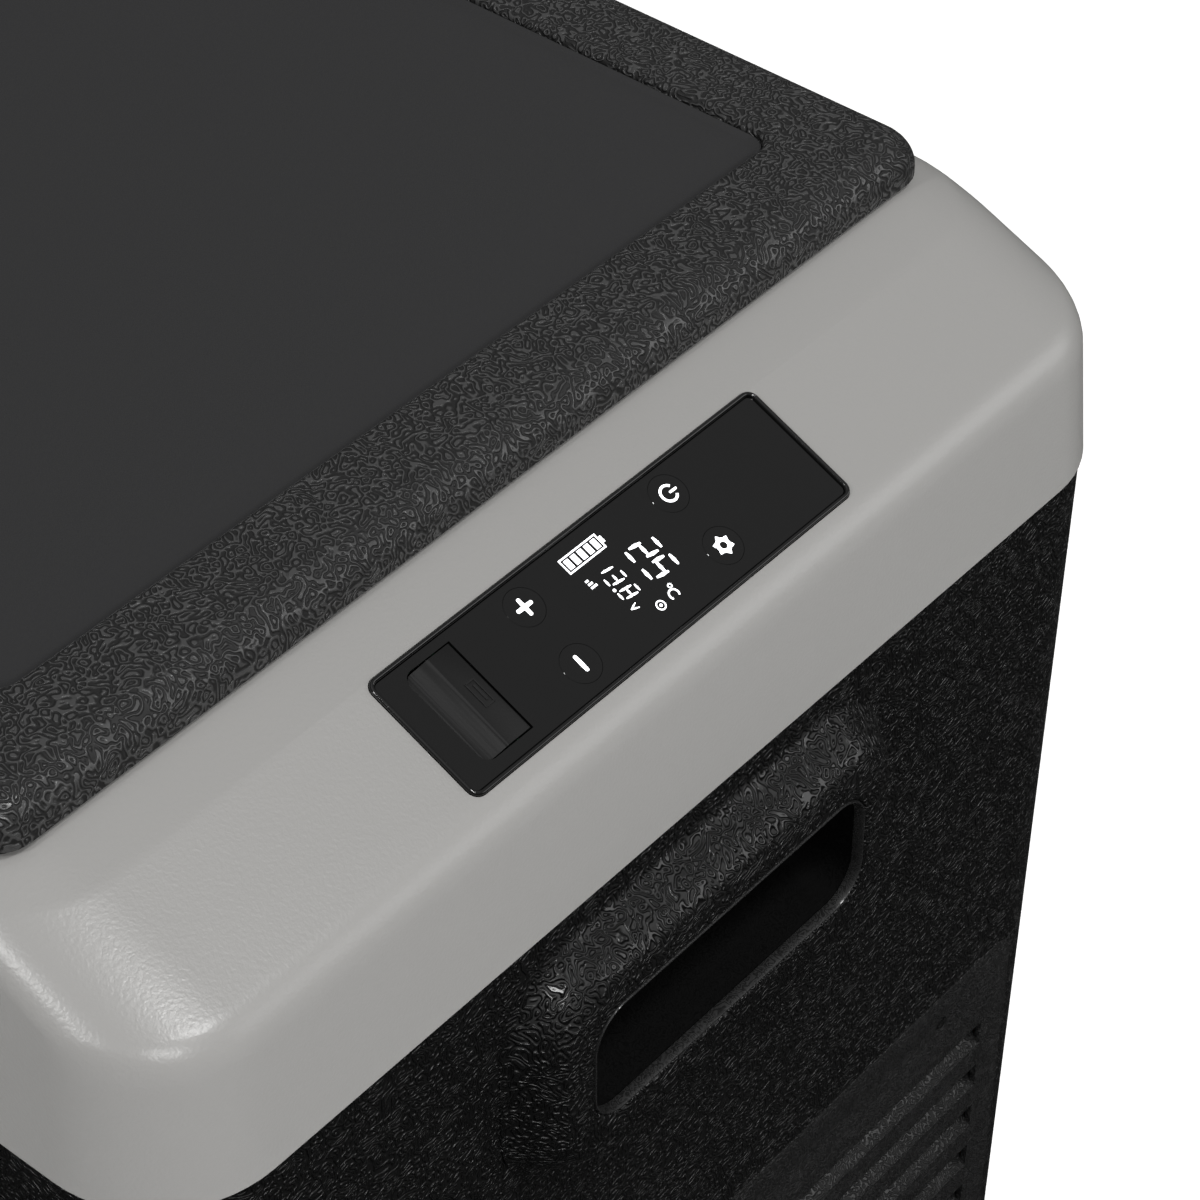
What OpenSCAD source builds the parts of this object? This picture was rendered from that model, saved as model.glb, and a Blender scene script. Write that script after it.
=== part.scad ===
// Portable compressor cooler. X runs along its length with the controls at +X,
// the hinged side is +Y, and Z is up from the floor under its feet.

/* [Overall] */
// Length of the top frame over both ends
frame_l = 580; // [540:5:720]
// Width of the top frame over both long sides
frame_w = 345; // [320:5:430]
// Height from the floor to the top of the lid
total_h = 420; // [405:5:520]
// How far each end grip pad stands out from the frame
pad_proud = 10; // [8:1:14]
// Height of the rubber feet
foot_h = 10; // [6:1:16]

/* [Body] */
// Wall of the body shell
body_t = 3; // [2:0.5:4]
// Radius of the body's upright corners
corner_r = 32; // [26:1:44]
// Lean of the body walls in degrees
body_draft = 0.5; // [0:0.1:0.8]
// Step from the top frame in to the body
body_step = 0.8; // [0.4:0.1:1.5]
// Thickness of the base plate and of the flange above it
base_t = 3; // [2:0.5:4]

/* [Top frame] */
// Height of the top frame
frame_drop = 62.5; // [60:0.5:72]
// Wall of the top frame
frame_t = 3; // [2.5:0.5:4]
// Lean of its outer walls in degrees
wall_draft = 5; // [3:0.5:6]
// Radius of its shoulder along the sides
shoulder_r = 13; // [10:0.5:15]
// Radius of its shoulder below the controls
end_shoulder_r = 12; // [8:0.5:14]
// Slope of the control face in degrees
panel_slope = 24.2; // [22:0.2:27]

/* [Compartment] */
// Insulation and walls along each long side
side_wall = 40.5; // [38:0.5:55]
// Insulation and walls at the end away from the controls
far_wall = 46; // [44:1:60]
// Wall of the inner tub
tub_t = 1.5; // [1:0.5:2.5]
// Height of the deep floor above the ground
deep_floor = 45; // [40:1:60]
// Radius of the tub's upright corners
tub_r = 18; // [12:1:26]
// Length of the compressor bay
bay_l = 165; // [160:1:180]
// Height of the compressor bay
bay_h = 220; // [210:1:230]

/* [Lid] */
// Height of the lid above the top frame
lid_rise = 12.5; // [11:0.5:16]
// Overhang of the lid past the frame's top edge
lid_over = 1.5; // [0.5:0.5:2.5]
// Radius of the lid's top edge
lid_edge_r = 9; // [6:0.5:9.5]
// Depth of the recess in the lid
recess_d = 2.5; // [1:0.5:4]
// Width of the rim around the recess
rim_w = 28; // [20:1:40]
// How far the lid's plug reaches into the tub
plug_d = 22; // [15:1:30]
// Gap between the plug and the tub
plug_gap = 4; // [3:0.5:8]
// Distance from the middle of the lid to each hinge
hinge_span = 88; // [70:2:180]

/* [Controls] */
// Width of the control face
panel_w = 131.2; // [128:0.2:140]
// Height of the control face along the slope
panel_h = 34.6; // [33:0.2:36]
// Travel of each key
key_travel = 0.3; // [0.2:0.05:0.4]
// Radius of each key
key_r = 5; // [4:0.25:5.2]

/* [Grips] */
// Width of each grip opening
grip_w = 99; // [90:1:106]
// Height of each grip opening
grip_h = 34; // [30:1:36]
// Depth of each grip pocket
grip_d = 40; // [30:1:42]

/* [Fits] */
// Gap between pieces that only seat on each other
seat_gap = 0.2; // [0.1:0.05:0.4]
// Gap around a piece that slides or lifts
slide_gap = 0.4; // [0.3:0.05:0.6]
// Radial running clearance of a turning pin
pin_gap = 0.06; // [0.03:0.01:0.1]

/* [Hidden] */
$fn = 48;
eps = 0.5;
corner_n = 8;
arc_n = 7;

half_l = frame_l / 2;
half_w = frame_w / 2;
seam_z = total_h - lid_rise;
frame_z = seam_z - frame_drop;
deck_z = seam_z - 4.5;
deck_t = 3;

// Outline of the top frame: a leaning wall, a shoulder, and at +X the control face and its ramp.
side_arc_z = seam_z - shoulder_r;
side_tangent_z = side_arc_z + shoulder_r * sin(wall_draft);
side_tangent_in = (side_tangent_z - frame_z) * tan(wall_draft);
side_arc_in = side_tangent_in + shoulder_r * cos(wall_draft);
ramp_l = 16.5;
ramp_drop = 4.9;
end_setback = 58;
knee_in = end_setback - ramp_l;
knee_z = seam_z - ramp_drop;
meet_h = (frame_drop - ramp_drop - knee_in * tan(panel_slope)) / (1 - tan(wall_draft) * tan(panel_slope));
end_turn = 90 - wall_draft - panel_slope;
end_tangent = end_shoulder_r * tan(end_turn / 2);
end_low_z = frame_z + meet_h - end_tangent * cos(wall_draft);
end_low_in = (end_low_z - frame_z) * tan(wall_draft);
end_arc_z = end_low_z - end_shoulder_r * sin(wall_draft);
end_arc_in = end_low_in + end_shoulder_r * cos(wall_draft);
end_high_z = end_arc_z + end_shoulder_r * cos(panel_slope);

function side_in(z) = z < side_tangent_z ? (z - frame_z) * tan(wall_draft)
    : side_arc_in - sqrt(max(0, shoulder_r ^ 2 - (z - side_arc_z) ^ 2));
function end_in(z) = z < end_low_z ? (z - frame_z) * tan(wall_draft)
    : z < end_high_z ? end_arc_in - sqrt(end_shoulder_r ^ 2 - (z - end_arc_z) ^ 2)
    : z < knee_z ? knee_in - (knee_z - z) / tan(panel_slope)
    : end_setback - (seam_z - z) * ramp_l / ramp_drop;
frame_levels = concat(
    [frame_z],
    [for (k = [0:arc_n]) end_arc_z
        + end_shoulder_r * sin(wall_draft + (90 - wall_draft - panel_slope) * k / arc_n)],
    [for (k = [0:arc_n]) side_arc_z + shoulder_r * sin(wall_draft + (90 - wall_draft) * k / arc_n)]
);

// Tub, bay and lid places
tub_x0 = far_wall - half_l;
tub_x1 = half_l - end_setback - 20;
tub_y = half_w - side_wall;
bay_x1 = half_l - 4;
bay_x0 = bay_x1 - bay_l;
bay_z1 = foot_h + bay_h;
step_x = bay_x0 - 16;
partition_t = 3;
shallow_floor = bay_z1 + partition_t + 29;
inner_z0 = foot_h + 2 * base_t + seat_gap;
bay_mid = bay_x0 + bay_l / 2;
lip_gap = 17;
lip_t = 3;
lid_z0 = seam_z + 1;
lid_x0 = side_arc_in - half_l - lid_over;
lid_x1 = half_l - end_setback + lid_over;
lid_y = half_w - side_arc_in + lid_over;
lid_r = corner_r - side_arc_in + lid_over;
lid_mid = (lid_x0 + lid_x1) / 2;
lid_t = 2.5;
inlay_t = 1.5;
recess_z = total_h - recess_d;
plug_z = deck_z - plug_d + 4;
plug_r = tub_r + 10;
liner_t = 2;
gasket_gap = 0.3;
tub_flange_t = 1;
hinge_y = half_w - 9;
hinge_z = seam_z + 1.5;
knuckle_r = 5;
hinge_pin_r = 2;
hinge_l = 72;
hinge_xs = [lid_mid - hinge_span, lid_mid + hinge_span];
pocket_floor = seam_z - 9.5;
latch_half = 26;
leaf_t = 2;
leaf_w = 30;
ear_w = 10;
striker_y = -tub_y - 19.5;
bolt_z = seam_z - 5.2;
bolt_h = 2.6;

// Control face place: its middle on the slope, local z out of the face and local x down the slope
panel_mid_in = knee_in - panel_h / 2 * cos(panel_slope);
panel_x = half_l - panel_mid_in;
panel_z = knee_z - (knee_in - panel_mid_in) * tan(panel_slope);
bezel_d = 4.2;
bezel_rim = 1.2;
bezel_rise = 0.9;
face_z = 0;
overlay_t = 1.4;
key_places = [[-9.4, 27.7], [7.8, 28.2], [-9.2, -22.1], [8.4, -22]];
key_t = 1;
board_z = -bezel_d - 2.6;
board_t = 1.6;
switch_z = board_z + 1.9;
usb_q0 = -57;
usb_q1 = -42.7;
usb_p0 = -13.2;
usb_p1 = 12.3;
flap_t = 1.3;
bar_q = [-35, 41];
usb_q = (usb_q0 + usb_q1) / 2 - 0.3;
flap_rise = 0.3;
flap_corner_r = 2.5;
flap_r = (flap_t + flap_rise) / 2;
port_d = 12;

// Grips, grilles and inlet
grip_z = frame_z - 45;
pad_y = grip_w / 2 + 10.5;
pad_z0 = grip_z - grip_h / 2 - 10.5;
pad_z1 = grip_z + grip_h / 2 + 11;
pad_bevel = 9;
pad_edge = 2;
pad_t = 3;
pad_x = half_l + pad_proud;
cup_x = pad_x - pad_t;
cup_t = 2;
cup_flange = 7;
grille_y = 143;
grille_z0 = foot_h + 15;
grille_z1 = foot_h + 173;
grille_t = 3;
slot_pitch = 18;
side_vent_l = 108;
side_vent_z0 = foot_h + 35;
side_vent_h = 120;
flange_w = 12;
dc_x = bay_x0 + 24;
dc_z = bay_z1 - 34;
dc_r = 11;
slot_count = 7;
slot_h = 9;
slot_y = grille_y - 11;
slot_top = grille_z1 - 38;

// Cooling unit
compressor_r = 58;
compressor_y = -75;
compressor_z = foot_h + 20;
compressor_h = 118;
fan_size = 120;
fan_y = half_w - 72;
fan_z = foot_h + 95;
fan_t = 25;
condenser_y0 = half_w - 40;
condenser_y1 = half_w - 12.5;
condenser_l = 110;
tube_r = 4;
coil_turns = 5;
coil_pitch = 32;
coil_z = foot_h + 62;
coil_room = tub_t + 2 * tube_r + 2;
coil_off = tub_t + tube_r + 0.9;
bolt_r = 3;
tube_rows = 5;
end_x = condenser_l / 2 + 3;
fin_gap = 0.05;
tube_ys = [condenser_y0 + 8, condenser_y1 - 7];
drier_x = bay_x0 + 14;
drier_y = 62;

// Shared shapes
function rounded(x0, x1, y0, y1, r) = let (c = [
    [x1 - r, y1 - r, 0], [x0 + r, y1 - r, 90], [x0 + r, y0 + r, 180], [x1 - r, y0 + r, 270]])
    [for (q = c) for (k = [0:corner_n])
        [q.x + r * cos(q.z + 90 * k / corner_n), q.y + r * sin(q.z + 90 * k / corner_n)]];
function at_z(ring, z) = [for (p = ring) [p.x, p.y, z]];
function at_x(ring, x) = [for (p = ring) [x, p.x, p.y]];
function body_in(z) = body_step + (frame_z - z) * tan(body_draft);
function body_ring(z, off) = let (d = body_in(z) + off)
    at_z(rounded(d - half_l, half_l - d, d - half_w, half_w - d, corner_r - body_step - off), z);
function frame_ring(z, off, shift) = let (s = side_in(z) + off, e = end_in(z) + off)
    at_z(rounded(s - half_l, half_l - e, s - half_w, half_w - s, corner_r - s), z - shift);

module skin(rings) {
    n = len(rings[0]);
    last = len(rings) - 1;
    sides = [for (i = [0:last - 1]) for (k = [0:n - 1]) let (a = i * n + k, b = i * n + (k + 1) % n)
        each [[a, a + n, b + n], [a, b + n, b]]];
    low = [[for (k = [0:n - 1]) k]];
    high = [[for (k = [n - 1:-1:0]) last * n + k]];
    polyhedron([for (r = rings) each r], concat(sides, low, high), convexity = 6);
}
module slab2d(x0, x1, y0, y1, r) {
    translate([x0 + r, y0]) square([x1 - x0 - 2 * r, y1 - y0]);
    translate([x0, y0 + r]) square([x1 - x0, y1 - y0 - 2 * r]);
    for (x = [x0 + r, x1 - r], y = [y0 + r, y1 - r]) translate([x, y]) circle(r);
}
module slab(x0, x1, y0, y1, z0, z1, r) {
    translate([0, 0, z0]) linear_extrude(z1 - z0) slab2d(x0, x1, y0, y1, r);
}
module slab_x(x0, x1, y0, y1, z0, z1, r) {
    translate([x0, 0, 0]) rotate([90, 0, 90]) linear_extrude(x1 - x0) slab2d(y0, y1, z0, z1, r);
}
module slab_y(x0, x1, y0, y1, z0, z1, r) {
    translate([0, y1, 0]) rotate([90, 0, 0]) linear_extrude(y1 - y0) slab2d(x0, x1, z0, z1, r);
}
module block(x0, x1, y0, y1, z0, z1) {
    translate([x0, y0, z0]) cube([x1 - x0, y1 - y0, z1 - z0]);
}
module rod_x(x0, x1, y, z, r) {
    translate([x0, y, z]) rotate([0, 90, 0]) cylinder(h = x1 - x0, r = r);
}
module rod_y(x, y0, y1, z, r) {
    translate([x, y1, z]) rotate([90, 0, 0]) cylinder(h = y1 - y0, r = r);
}
module rod_z(x, y, z0, z1, r) {
    translate([x, y, z0]) cylinder(h = z1 - z0, r = r);
}
module on_panel() {
    translate([panel_x, 0, panel_z]) rotate([0, panel_slope, 0]) children();
}
module both_ends() {
    children();
    mirror([1, 0, 0]) children();
}

// Round tube along a smooth path through chosen points
function unit(v) = v / norm(v);
function path_point(p, i, u) = let (
    a = p[max(i - 1, 0)], b = p[i], c = p[i + 1], d = p[min(i + 2, len(p) - 1)])
    0.5 * (2 * b + (c - a) * u + (2 * a - 5 * b + 4 * c - d) * u ^ 2 + (3 * b - a - 3 * c + d) * u ^ 3);
function smooth(p, k) = concat(
    [for (i = [0:len(p) - 2]) for (j = [0:k - 1]) path_point(p, i, j / k)], [p[len(p) - 1]]);
module tube(path, r, sides = 8) {
    last = len(path) - 1;
    run = [for (i = [0:last]) unit(path[min(i + 1, last)] - path[max(i - 1, 0)])];
    start = abs(run[0].z) < 0.9 ? [0, 0, 1] : [1, 0, 0];
    across = [for (i = 0, n = unit(cross(run[0], start)); i <= last;
        i = i + 1, n = i > last ? n : unit(n - (n * run[i]) * run[i])) n];
    skin([for (i = [0:last]) let (n = across[i], m = cross(run[i], n))
        [for (k = [0:sides - 1]) path[i] + r * (cos(360 * k / sides) * n + sin(360 * k / sides) * m)]]);
}

// Casing
function pad_ring(grow, x) = at_x(rounded(-pad_y - grow, pad_y + grow, pad_z0 - grow, pad_z1 + grow,
    16 + grow), x);
module grip_pad(off) {
    skin([
        pad_ring(pad_bevel - off, half_l - pad_t - off),
        pad_ring(pad_bevel - off, half_l - 1 - off),
        pad_ring(pad_edge - off, pad_x - pad_edge - off),
        pad_ring(-off, pad_x - off)
    ]);
}
module grip_surround() {
    color("#141414") difference() {
        grip_pad(0);
        grip_pad(pad_t);
        grip_hole(half_l - 9, pad_x + 1, 0);
    }
}
module grip_surround_right() { grip_surround(); }
module grip_surround_left() { mirror([1, 0, 0]) grip_surround(); }
module grip_hole(x0, x1, off) {
    slab_x(x0, x1, -grip_w / 2 - off, grip_w / 2 + off, grip_z - grip_h / 2 - off,
        grip_z + grip_h / 2 + off, 10 + off);
}
module base_screw_places() {
    for (x = [-1, 0, 1] * (half_l - 52), s = [-1, 1]) translate([x, s * (half_w - 14), 0]) children();
}
module grille_screw_places() {
    for (s = [-1, 1], z = [grille_z0 + 6, grille_z1 - 12]) translate([0, s * (grille_y - 32), z]) children();
}
module on_end_wall() {
    mid_z = (grille_z0 + grille_z1) / 2;
    translate([half_l - body_in(mid_z), 0, mid_z]) rotate([0, body_draft, 0])
        translate([0, 0, -mid_z]) children();
}
module on_side_wall(s) {
    mid_z = side_vent_z0 + side_vent_h / 2;
    translate([bay_mid, s * (half_w - body_in(mid_z)), mid_z]) rotate([-s * body_draft, 0, 0])
        translate([0, 0, -mid_z]) children();
}
module body_shell() {
    color("#141414") difference() {
        union() {
            difference() {
                skin([body_ring(foot_h, 0), body_ring(frame_z, 0)]);
                skin([body_ring(foot_h - 1, body_t), body_ring(frame_z + 1, body_t)]);
            }
            difference() {
                skin([body_ring(foot_h + base_t, body_t - eps), body_ring(foot_h + 2 * base_t, body_t - eps)]);
                skin([body_ring(foot_h + base_t - 1, body_t + flange_w),
                    body_ring(foot_h + 2 * base_t + 1, body_t + flange_w)]);
            }
        }
        both_ends() skin([pad_ring(pad_bevel + seat_gap, half_l - 9), pad_ring(pad_bevel + seat_gap, half_l + 9)]);
        on_end_wall() slab_x(-grille_t / 2 - seat_gap / 2, 9, -grille_y - seat_gap, grille_y + seat_gap,
            grille_z0 - seat_gap, grille_z1 + seat_gap, 6);
        on_end_wall() slab_x(-9, 1, 8 - grille_y, grille_y - 8, grille_z0 + 10, grille_z1 - 24, 4);
        for (s = [-1, 1]) on_side_wall(s) slab_y(-side_vent_l / 2, side_vent_l / 2, -9, 9,
            side_vent_z0, side_vent_z0 + side_vent_h, 4);
        on_end_wall() grille_screw_places() rod_x(-9, 1, 0, 0, 1.5);
        base_screw_places() rod_z(0, 0, foot_h, foot_h + 2 * base_t + 1, 1.5);
        rod_y(dc_x, half_w - 12, half_w + 1, dc_z, dc_r + seat_gap);
    }
}
module base_plate() {
    d = body_in(foot_h) + body_t + seat_gap;
    color("#1b1b1b") difference() {
        slab(d - half_l, half_l - d, d - half_w, half_w - d, foot_h, foot_h + base_t, corner_r - body_t - 1);
        base_screw_places() rod_z(0, 0, foot_h - 1, foot_h + base_t + 1, 2.2);
        foot_places() rod_z(0, 0, foot_h - 1, foot_h + base_t + 1, 4);
        on_compressor_feet() rod_z(0, 0, foot_h - 1, foot_h + base_t + 1, bolt_r);
        for (k = [0:7]) slab(bay_mid - 62 + k * 16, bay_mid - 56 + k * 16, 20, 90, foot_h - 1,
            foot_h + base_t + 1, 2.9);
    }
}
module foot_places() {
    for (x = [-1, 1] * (half_l - 45), y = [-1, 1] * (half_w - 40)) translate([x, y, 0]) children();
}
module rubber_feet() {
    color("#101010") foot_places() union() {
        rod_z(0, 0, 0, foot_h, 16);
        rod_z(0, 0, foot_h - eps, foot_h + 2 * base_t, 4);
    }
}
module base_screws() {
    color("silver") base_screw_places() union() {
        rod_z(0, 0, foot_h - 1.6, foot_h, 4);
        rod_z(0, 0, foot_h - eps, foot_h + 2 * base_t, 1.5);
    }
}
module grip_cup() {
    color("#050505") difference() {
        union() {
            grip_hole(cup_x - grip_d, cup_x, cup_t);
            grip_hole(cup_x - cup_t, cup_x, cup_flange);
        }
        grip_hole(cup_x - grip_d + cup_t, cup_x + 1, 0);
    }
}
module grip_cup_right() { grip_cup(); }
module grip_cup_left() { mirror([1, 0, 0]) grip_cup(); }
module each_slot() {
    for (k = [0:slot_count - 1]) translate([0, 0, slot_top - k * slot_pitch]) children();
}
module end_grille() {
    color("#0d0d0d") on_end_wall() difference() {
        union() {
            slab_x(-grille_t / 2, grille_t / 2, -grille_y, grille_y, grille_z0, grille_z1, 6);
            each_slot() block(-8, 0, -slot_y - 2, slot_y + 2, -1, slot_h - 1.5);
            for (y = [-1, 0, 1] * slot_y / 2) block(-8, -1, y - 1.2, y + 1.2,
                slot_top - (slot_count - 1) * slot_pitch, slot_top + slot_h);
        }
        each_slot() slab_x(-1, 9, -slot_y, slot_y, 0, slot_h, 1);
        each_slot() translate([grille_t / 2, 0, 0]) rotate([0, 38, 0]) block(-14, 9, -slot_y, slot_y, 0, 3);
        each_slot() translate([grille_t / 2, 0, -2.2]) rotate([0, 38, 0]) translate([0, 0, -9])
            block(-22, -3.4, -slot_y - 3, slot_y + 3, 0, 9);
        grille_screw_places() rod_x(-9, 9, 0, 0, 2);
    }
}
module side_grille(s) {
    on_side_wall(s) scale([1, s, 1]) difference() {
        union() {
            slab_y(-side_vent_l / 2 - 6, side_vent_l / 2 + 6, 0.1, 2.1, side_vent_z0 - 6,
                side_vent_z0 + side_vent_h + 6, 6);
            slab_y(-side_vent_l / 2 + seat_gap, side_vent_l / 2 - seat_gap, -3, 1, side_vent_z0 + seat_gap,
                side_vent_z0 + side_vent_h - seat_gap, 4);
        }
        for (k = [0:8], c = [-1, 1]) translate([c * side_vent_l / 4, 0, side_vent_z0 + 12 + 12 * k])
            slab_y(-side_vent_l / 4 + 5, side_vent_l / 4 - 5, -9, 9, -3, 3, 2.9);
    }
}
module side_grille_front() { color("#0d0d0d") side_grille(-1); }
module side_grille_back() { color("#0d0d0d") side_grille(1); }
module grille_screws() {
    color("#3a3a3a") on_end_wall() grille_screw_places() difference() {
        union() {
            rod_x(grille_t / 2, grille_t / 2 + 1.4, 0, 0, 3.4);
            rod_x(-7, grille_t / 2 + eps, 0, 0, 1.5);
        }
        for (a = [0, 90]) rotate([a, 0, 0]) block(grille_t / 2 + 0.6, 9, -2, 2, -0.4, 0.4);
    }
}

// Top frame
module at_hinges() {
    for (x = hinge_xs) translate([x, 0, 0]) children();
}
module tub_mouth(off, z0, z1) {
    slab(tub_x0 - off, tub_x1 + off, -tub_y - off, tub_y + off, z0, z1, tub_r + off);
}
module hinge_pocket(grow, z0) {
    at_hinges() block(-hinge_l / 2 - 1 - grow, hinge_l / 2 + 1 + grow, lid_y - 1 - grow, half_w + 9,
        z0, seam_z + 9);
}
module latch_pocket(grow, z0) {
    translate([lid_mid, 0, 0]) block(-latch_half - grow, latch_half + grow, -half_w - 9,
        -tub_y - 14.5 + grow, z0, seam_z + 9);
}
module top_frame() {
    color("#9b9a98") difference() {
        union() {
            difference() {
                skin([for (z = frame_levels) frame_ring(z, 0, 0)]);
                skin(concat([frame_ring(frame_z, frame_t, 1)],
                    [for (z = frame_levels) frame_ring(z, frame_t, 0.12 * (z - frame_z - 34)
                        * (z > frame_z + 34 ? 1 : 0))]));
            }
            tub_mouth(lip_gap + lip_t, deck_z - deck_t, deck_z + 2);
            intersection() {
                skin([for (z = frame_levels) frame_ring(z, 0, 0)]);
                union() {
                    hinge_pocket(deck_t, pocket_floor - deck_t);
                    latch_pocket(deck_t, pocket_floor - deck_t);
                    on_panel() block(-panel_h / 2 - 3, panel_h / 2 + 3, -panel_w / 2 - 3,
                        panel_w / 2 + 3, -bezel_d - 2, 2);
                }
            }
        }
        tub_mouth(lip_gap, deck_z, seam_z + 9);
        tub_mouth(tub_t + seat_gap, frame_z, seam_z + 9);
        hinge_pocket(0, pocket_floor);
        latch_pocket(0, pocket_floor);
        on_panel() slab(-panel_h / 2 - seat_gap, panel_h / 2 + seat_gap, -panel_w / 2 - seat_gap,
            panel_w / 2 + seat_gap, -bezel_d, 9, 3);
        on_panel() block(3 - panel_h / 2, panel_h / 2 - 3, 3 - panel_w / 2, panel_w / 2 - 3, -20, 1);
        at_hinges() hinge_screw_places() rod_z(0, 0, pocket_floor - 9, pocket_floor + 1, 1.2);
    }
}

// Compartment
module tub_solid(off) {
    tub_mouth_part(off, step_x, deep_floor);
    tub_mouth_part(off, tub_x1, shallow_floor);
}
module tub_mouth_part(off, x1, z0) {
    slab(tub_x0 - off, x1 + off, -tub_y - off, tub_y + off, z0 - off, deck_z, tub_r + off);
}
module tub_liner() {
    color("#d8d8d6") difference() {
        union() {
            tub_solid(tub_t);
            tub_mouth(tub_t + 12, deck_z, deck_z + tub_flange_t);
        }
        tub_solid(0);
        tub_mouth(0, deck_z - 1, deck_z + 9);
    }
}
module cup_room() {
    both_ends() grip_hole(cup_x - grip_d - seat_gap, pad_x + 9, cup_flange + seat_gap);
}
module insulation_foam() {
    fit = tub_t + seat_gap;
    color("#e8dfa8") difference() {
        union() {
            skin([body_ring(inner_z0, body_t + seat_gap), body_ring(frame_z, body_t + seat_gap)]);
            slab(12 - half_l, half_l - 54, 12 - half_w, half_w - 12, frame_z - 1, seam_z - 16, 18);
            tub_mouth(9, seam_z - 17, deck_z - deck_t - seat_gap);
        }
        tub_mouth_part(fit, step_x, deep_floor);
        tub_mouth_part(fit, tub_x1, shallow_floor);
        slab(tub_x0 - coil_room, step_x + coil_room, -tub_y - coil_room, tub_y + coil_room,
            coil_z - 10, coil_z + coil_pitch * coil_turns + 10, tub_r + coil_room);
        block(bay_x0 - partition_t - seat_gap, half_l + 9, -half_w - 9, half_w + 9, foot_h,
            bay_z1 + partition_t + seat_gap);
        cup_room();
        suction_room();
    }
}
module suction_room() {
    block(step_x, bay_x0, -30, 30, coil_z + coil_pitch * coil_turns - 40,
        coil_z + coil_pitch * coil_turns + 10);
}
module bay_partition() {
    color("#b9bdc2") intersection() {
        union() {
            block(bay_x0 - partition_t, bay_x0, -half_w, half_w, inner_z0, bay_z1 + partition_t);
            block(bay_x0 - partition_t, half_l, -half_w, half_w, bay_z1, bay_z1 + partition_t);
        }
        skin([body_ring(foot_h, body_t + seat_gap), body_ring(frame_z, body_t + seat_gap)]);
    }
}
module evaporator_coil() {
    loop = rounded(tub_x0 - coil_off, step_x + coil_off, -tub_y - coil_off, tub_y + coil_off, tub_r + coil_off);
    picked = [for (k = [0:2:len(loop) - 1]) loop[k]];
    m = len(picked);
    steps = m * coil_turns;
    color("#c9c9cc") tube([for (k = [0:steps]) let (p = picked[k % m])
        [p.x, p.y, coil_z + coil_pitch * coil_turns * k / steps]], tube_r);
}
module interior_lamp() {
    color("#f4f6ff") slab_x(tub_x1 - 5, tub_x1, -18, 18, plug_z - 42, plug_z - 28, 4);
}
module temperature_probe() {
    color("#2b2b2b") rod_y(tub_x0 - tub_t - 3.2, 20, 50, coil_z - 4, 3);
}

// Cooling unit
module on_compressor_feet() {
    for (x = [-58, 58], y = [-42, 42]) translate([bay_mid + x, compressor_y + y, 0]) children();
}
module compressor_shell() {
    r = compressor_r;
    color("#1d1d1f") translate([bay_mid, compressor_y, compressor_z]) rotate_extrude($fn = 64) polygon(concat(
        [[0, 0]],
        [for (a = [-90:10:0]) [r - 26 + 26 * cos(a), 26 + 26 * sin(a)]],
        [[r, 44], [r + 2.5, 45], [r + 2.5, 49], [r, 50]],
        [for (a = [0:10:90]) [r - 32 + 32 * cos(a), compressor_h - 32 + 32 * sin(a)]],
        [[0, compressor_h]]
    ));
}
module compressor_plate() {
    color("#26282b") difference() {
        slab(bay_mid - 70, bay_mid + 70, compressor_y - 54, compressor_y + 54, compressor_z - 3,
            compressor_z, 12);
        on_compressor_feet() rod_z(0, 0, compressor_z - 9, compressor_z + 9, 6.2);
    }
}
module compressor_grommets() {
    color("#151515") on_compressor_feet() difference() {
        union() {
            rod_z(0, 0, foot_h + base_t, compressor_z - 3, 9.5);
            rod_z(0, 0, compressor_z - 4, compressor_z + 2, 6);
            rod_z(0, 0, compressor_z + 0.1, compressor_z + 3, 9);
        }
        rod_z(0, 0, foot_h, compressor_z + 9, bolt_r + seat_gap);
    }
}
module compressor_bolts() {
    color("silver") on_compressor_feet() union() {
        rod_z(0, 0, foot_h, compressor_z + 8, bolt_r);
        translate([0, 0, compressor_z + 3]) cylinder(h = 3, r = 5.5, $fn = 6);
    }
}
module compressor_terminal_cover() {
    color("#101012") difference() {
        slab(bay_mid - 34, bay_mid + 10, compressor_y + compressor_r - 12, compressor_y + compressor_r + 20,
            compressor_z + 58, compressor_z + 96, 5);
        rod_z(bay_mid, compressor_y, compressor_z, compressor_z + compressor_h, compressor_r + 0.2);
    }
}
function tube_z(k) = fan_z - 44 + 22 * k;
module condenser_fins() {
    count = 20;
    color("#c3c7c9") for (k = [0:count - 1])
        translate([bay_mid - condenser_l / 2 + condenser_l * (k + 0.5) / count, 0, 0]) difference() {
            block(-0.4, 0.4, condenser_y0, condenser_y1, fan_z - 56, fan_z + 56);
            for (i = [0:tube_rows - 1], y = tube_ys) rod_x(-1, 1, y, tube_z(i), tube_r - 1 + fin_gap);
        }
}
module condenser_tubes() {
    color("#b87333") for (y = tube_ys) {
        for (i = [0:tube_rows - 1]) rod_x(bay_mid - end_x, bay_mid + end_x, y, tube_z(i), tube_r - 1);
        for (i = [0:tube_rows - 2]) translate([bay_mid + (i % 2 == 0 ? 1 : -1) * end_x, y, tube_z(i) + 11])
            rotate([90, 0, 0]) rotate([0, 0, i % 2 == 0 ? -90 : 90]) rotate_extrude(angle = 180)
                translate([11, 0]) circle(tube_r - 1, $fn = 24);
    }
}
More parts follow.
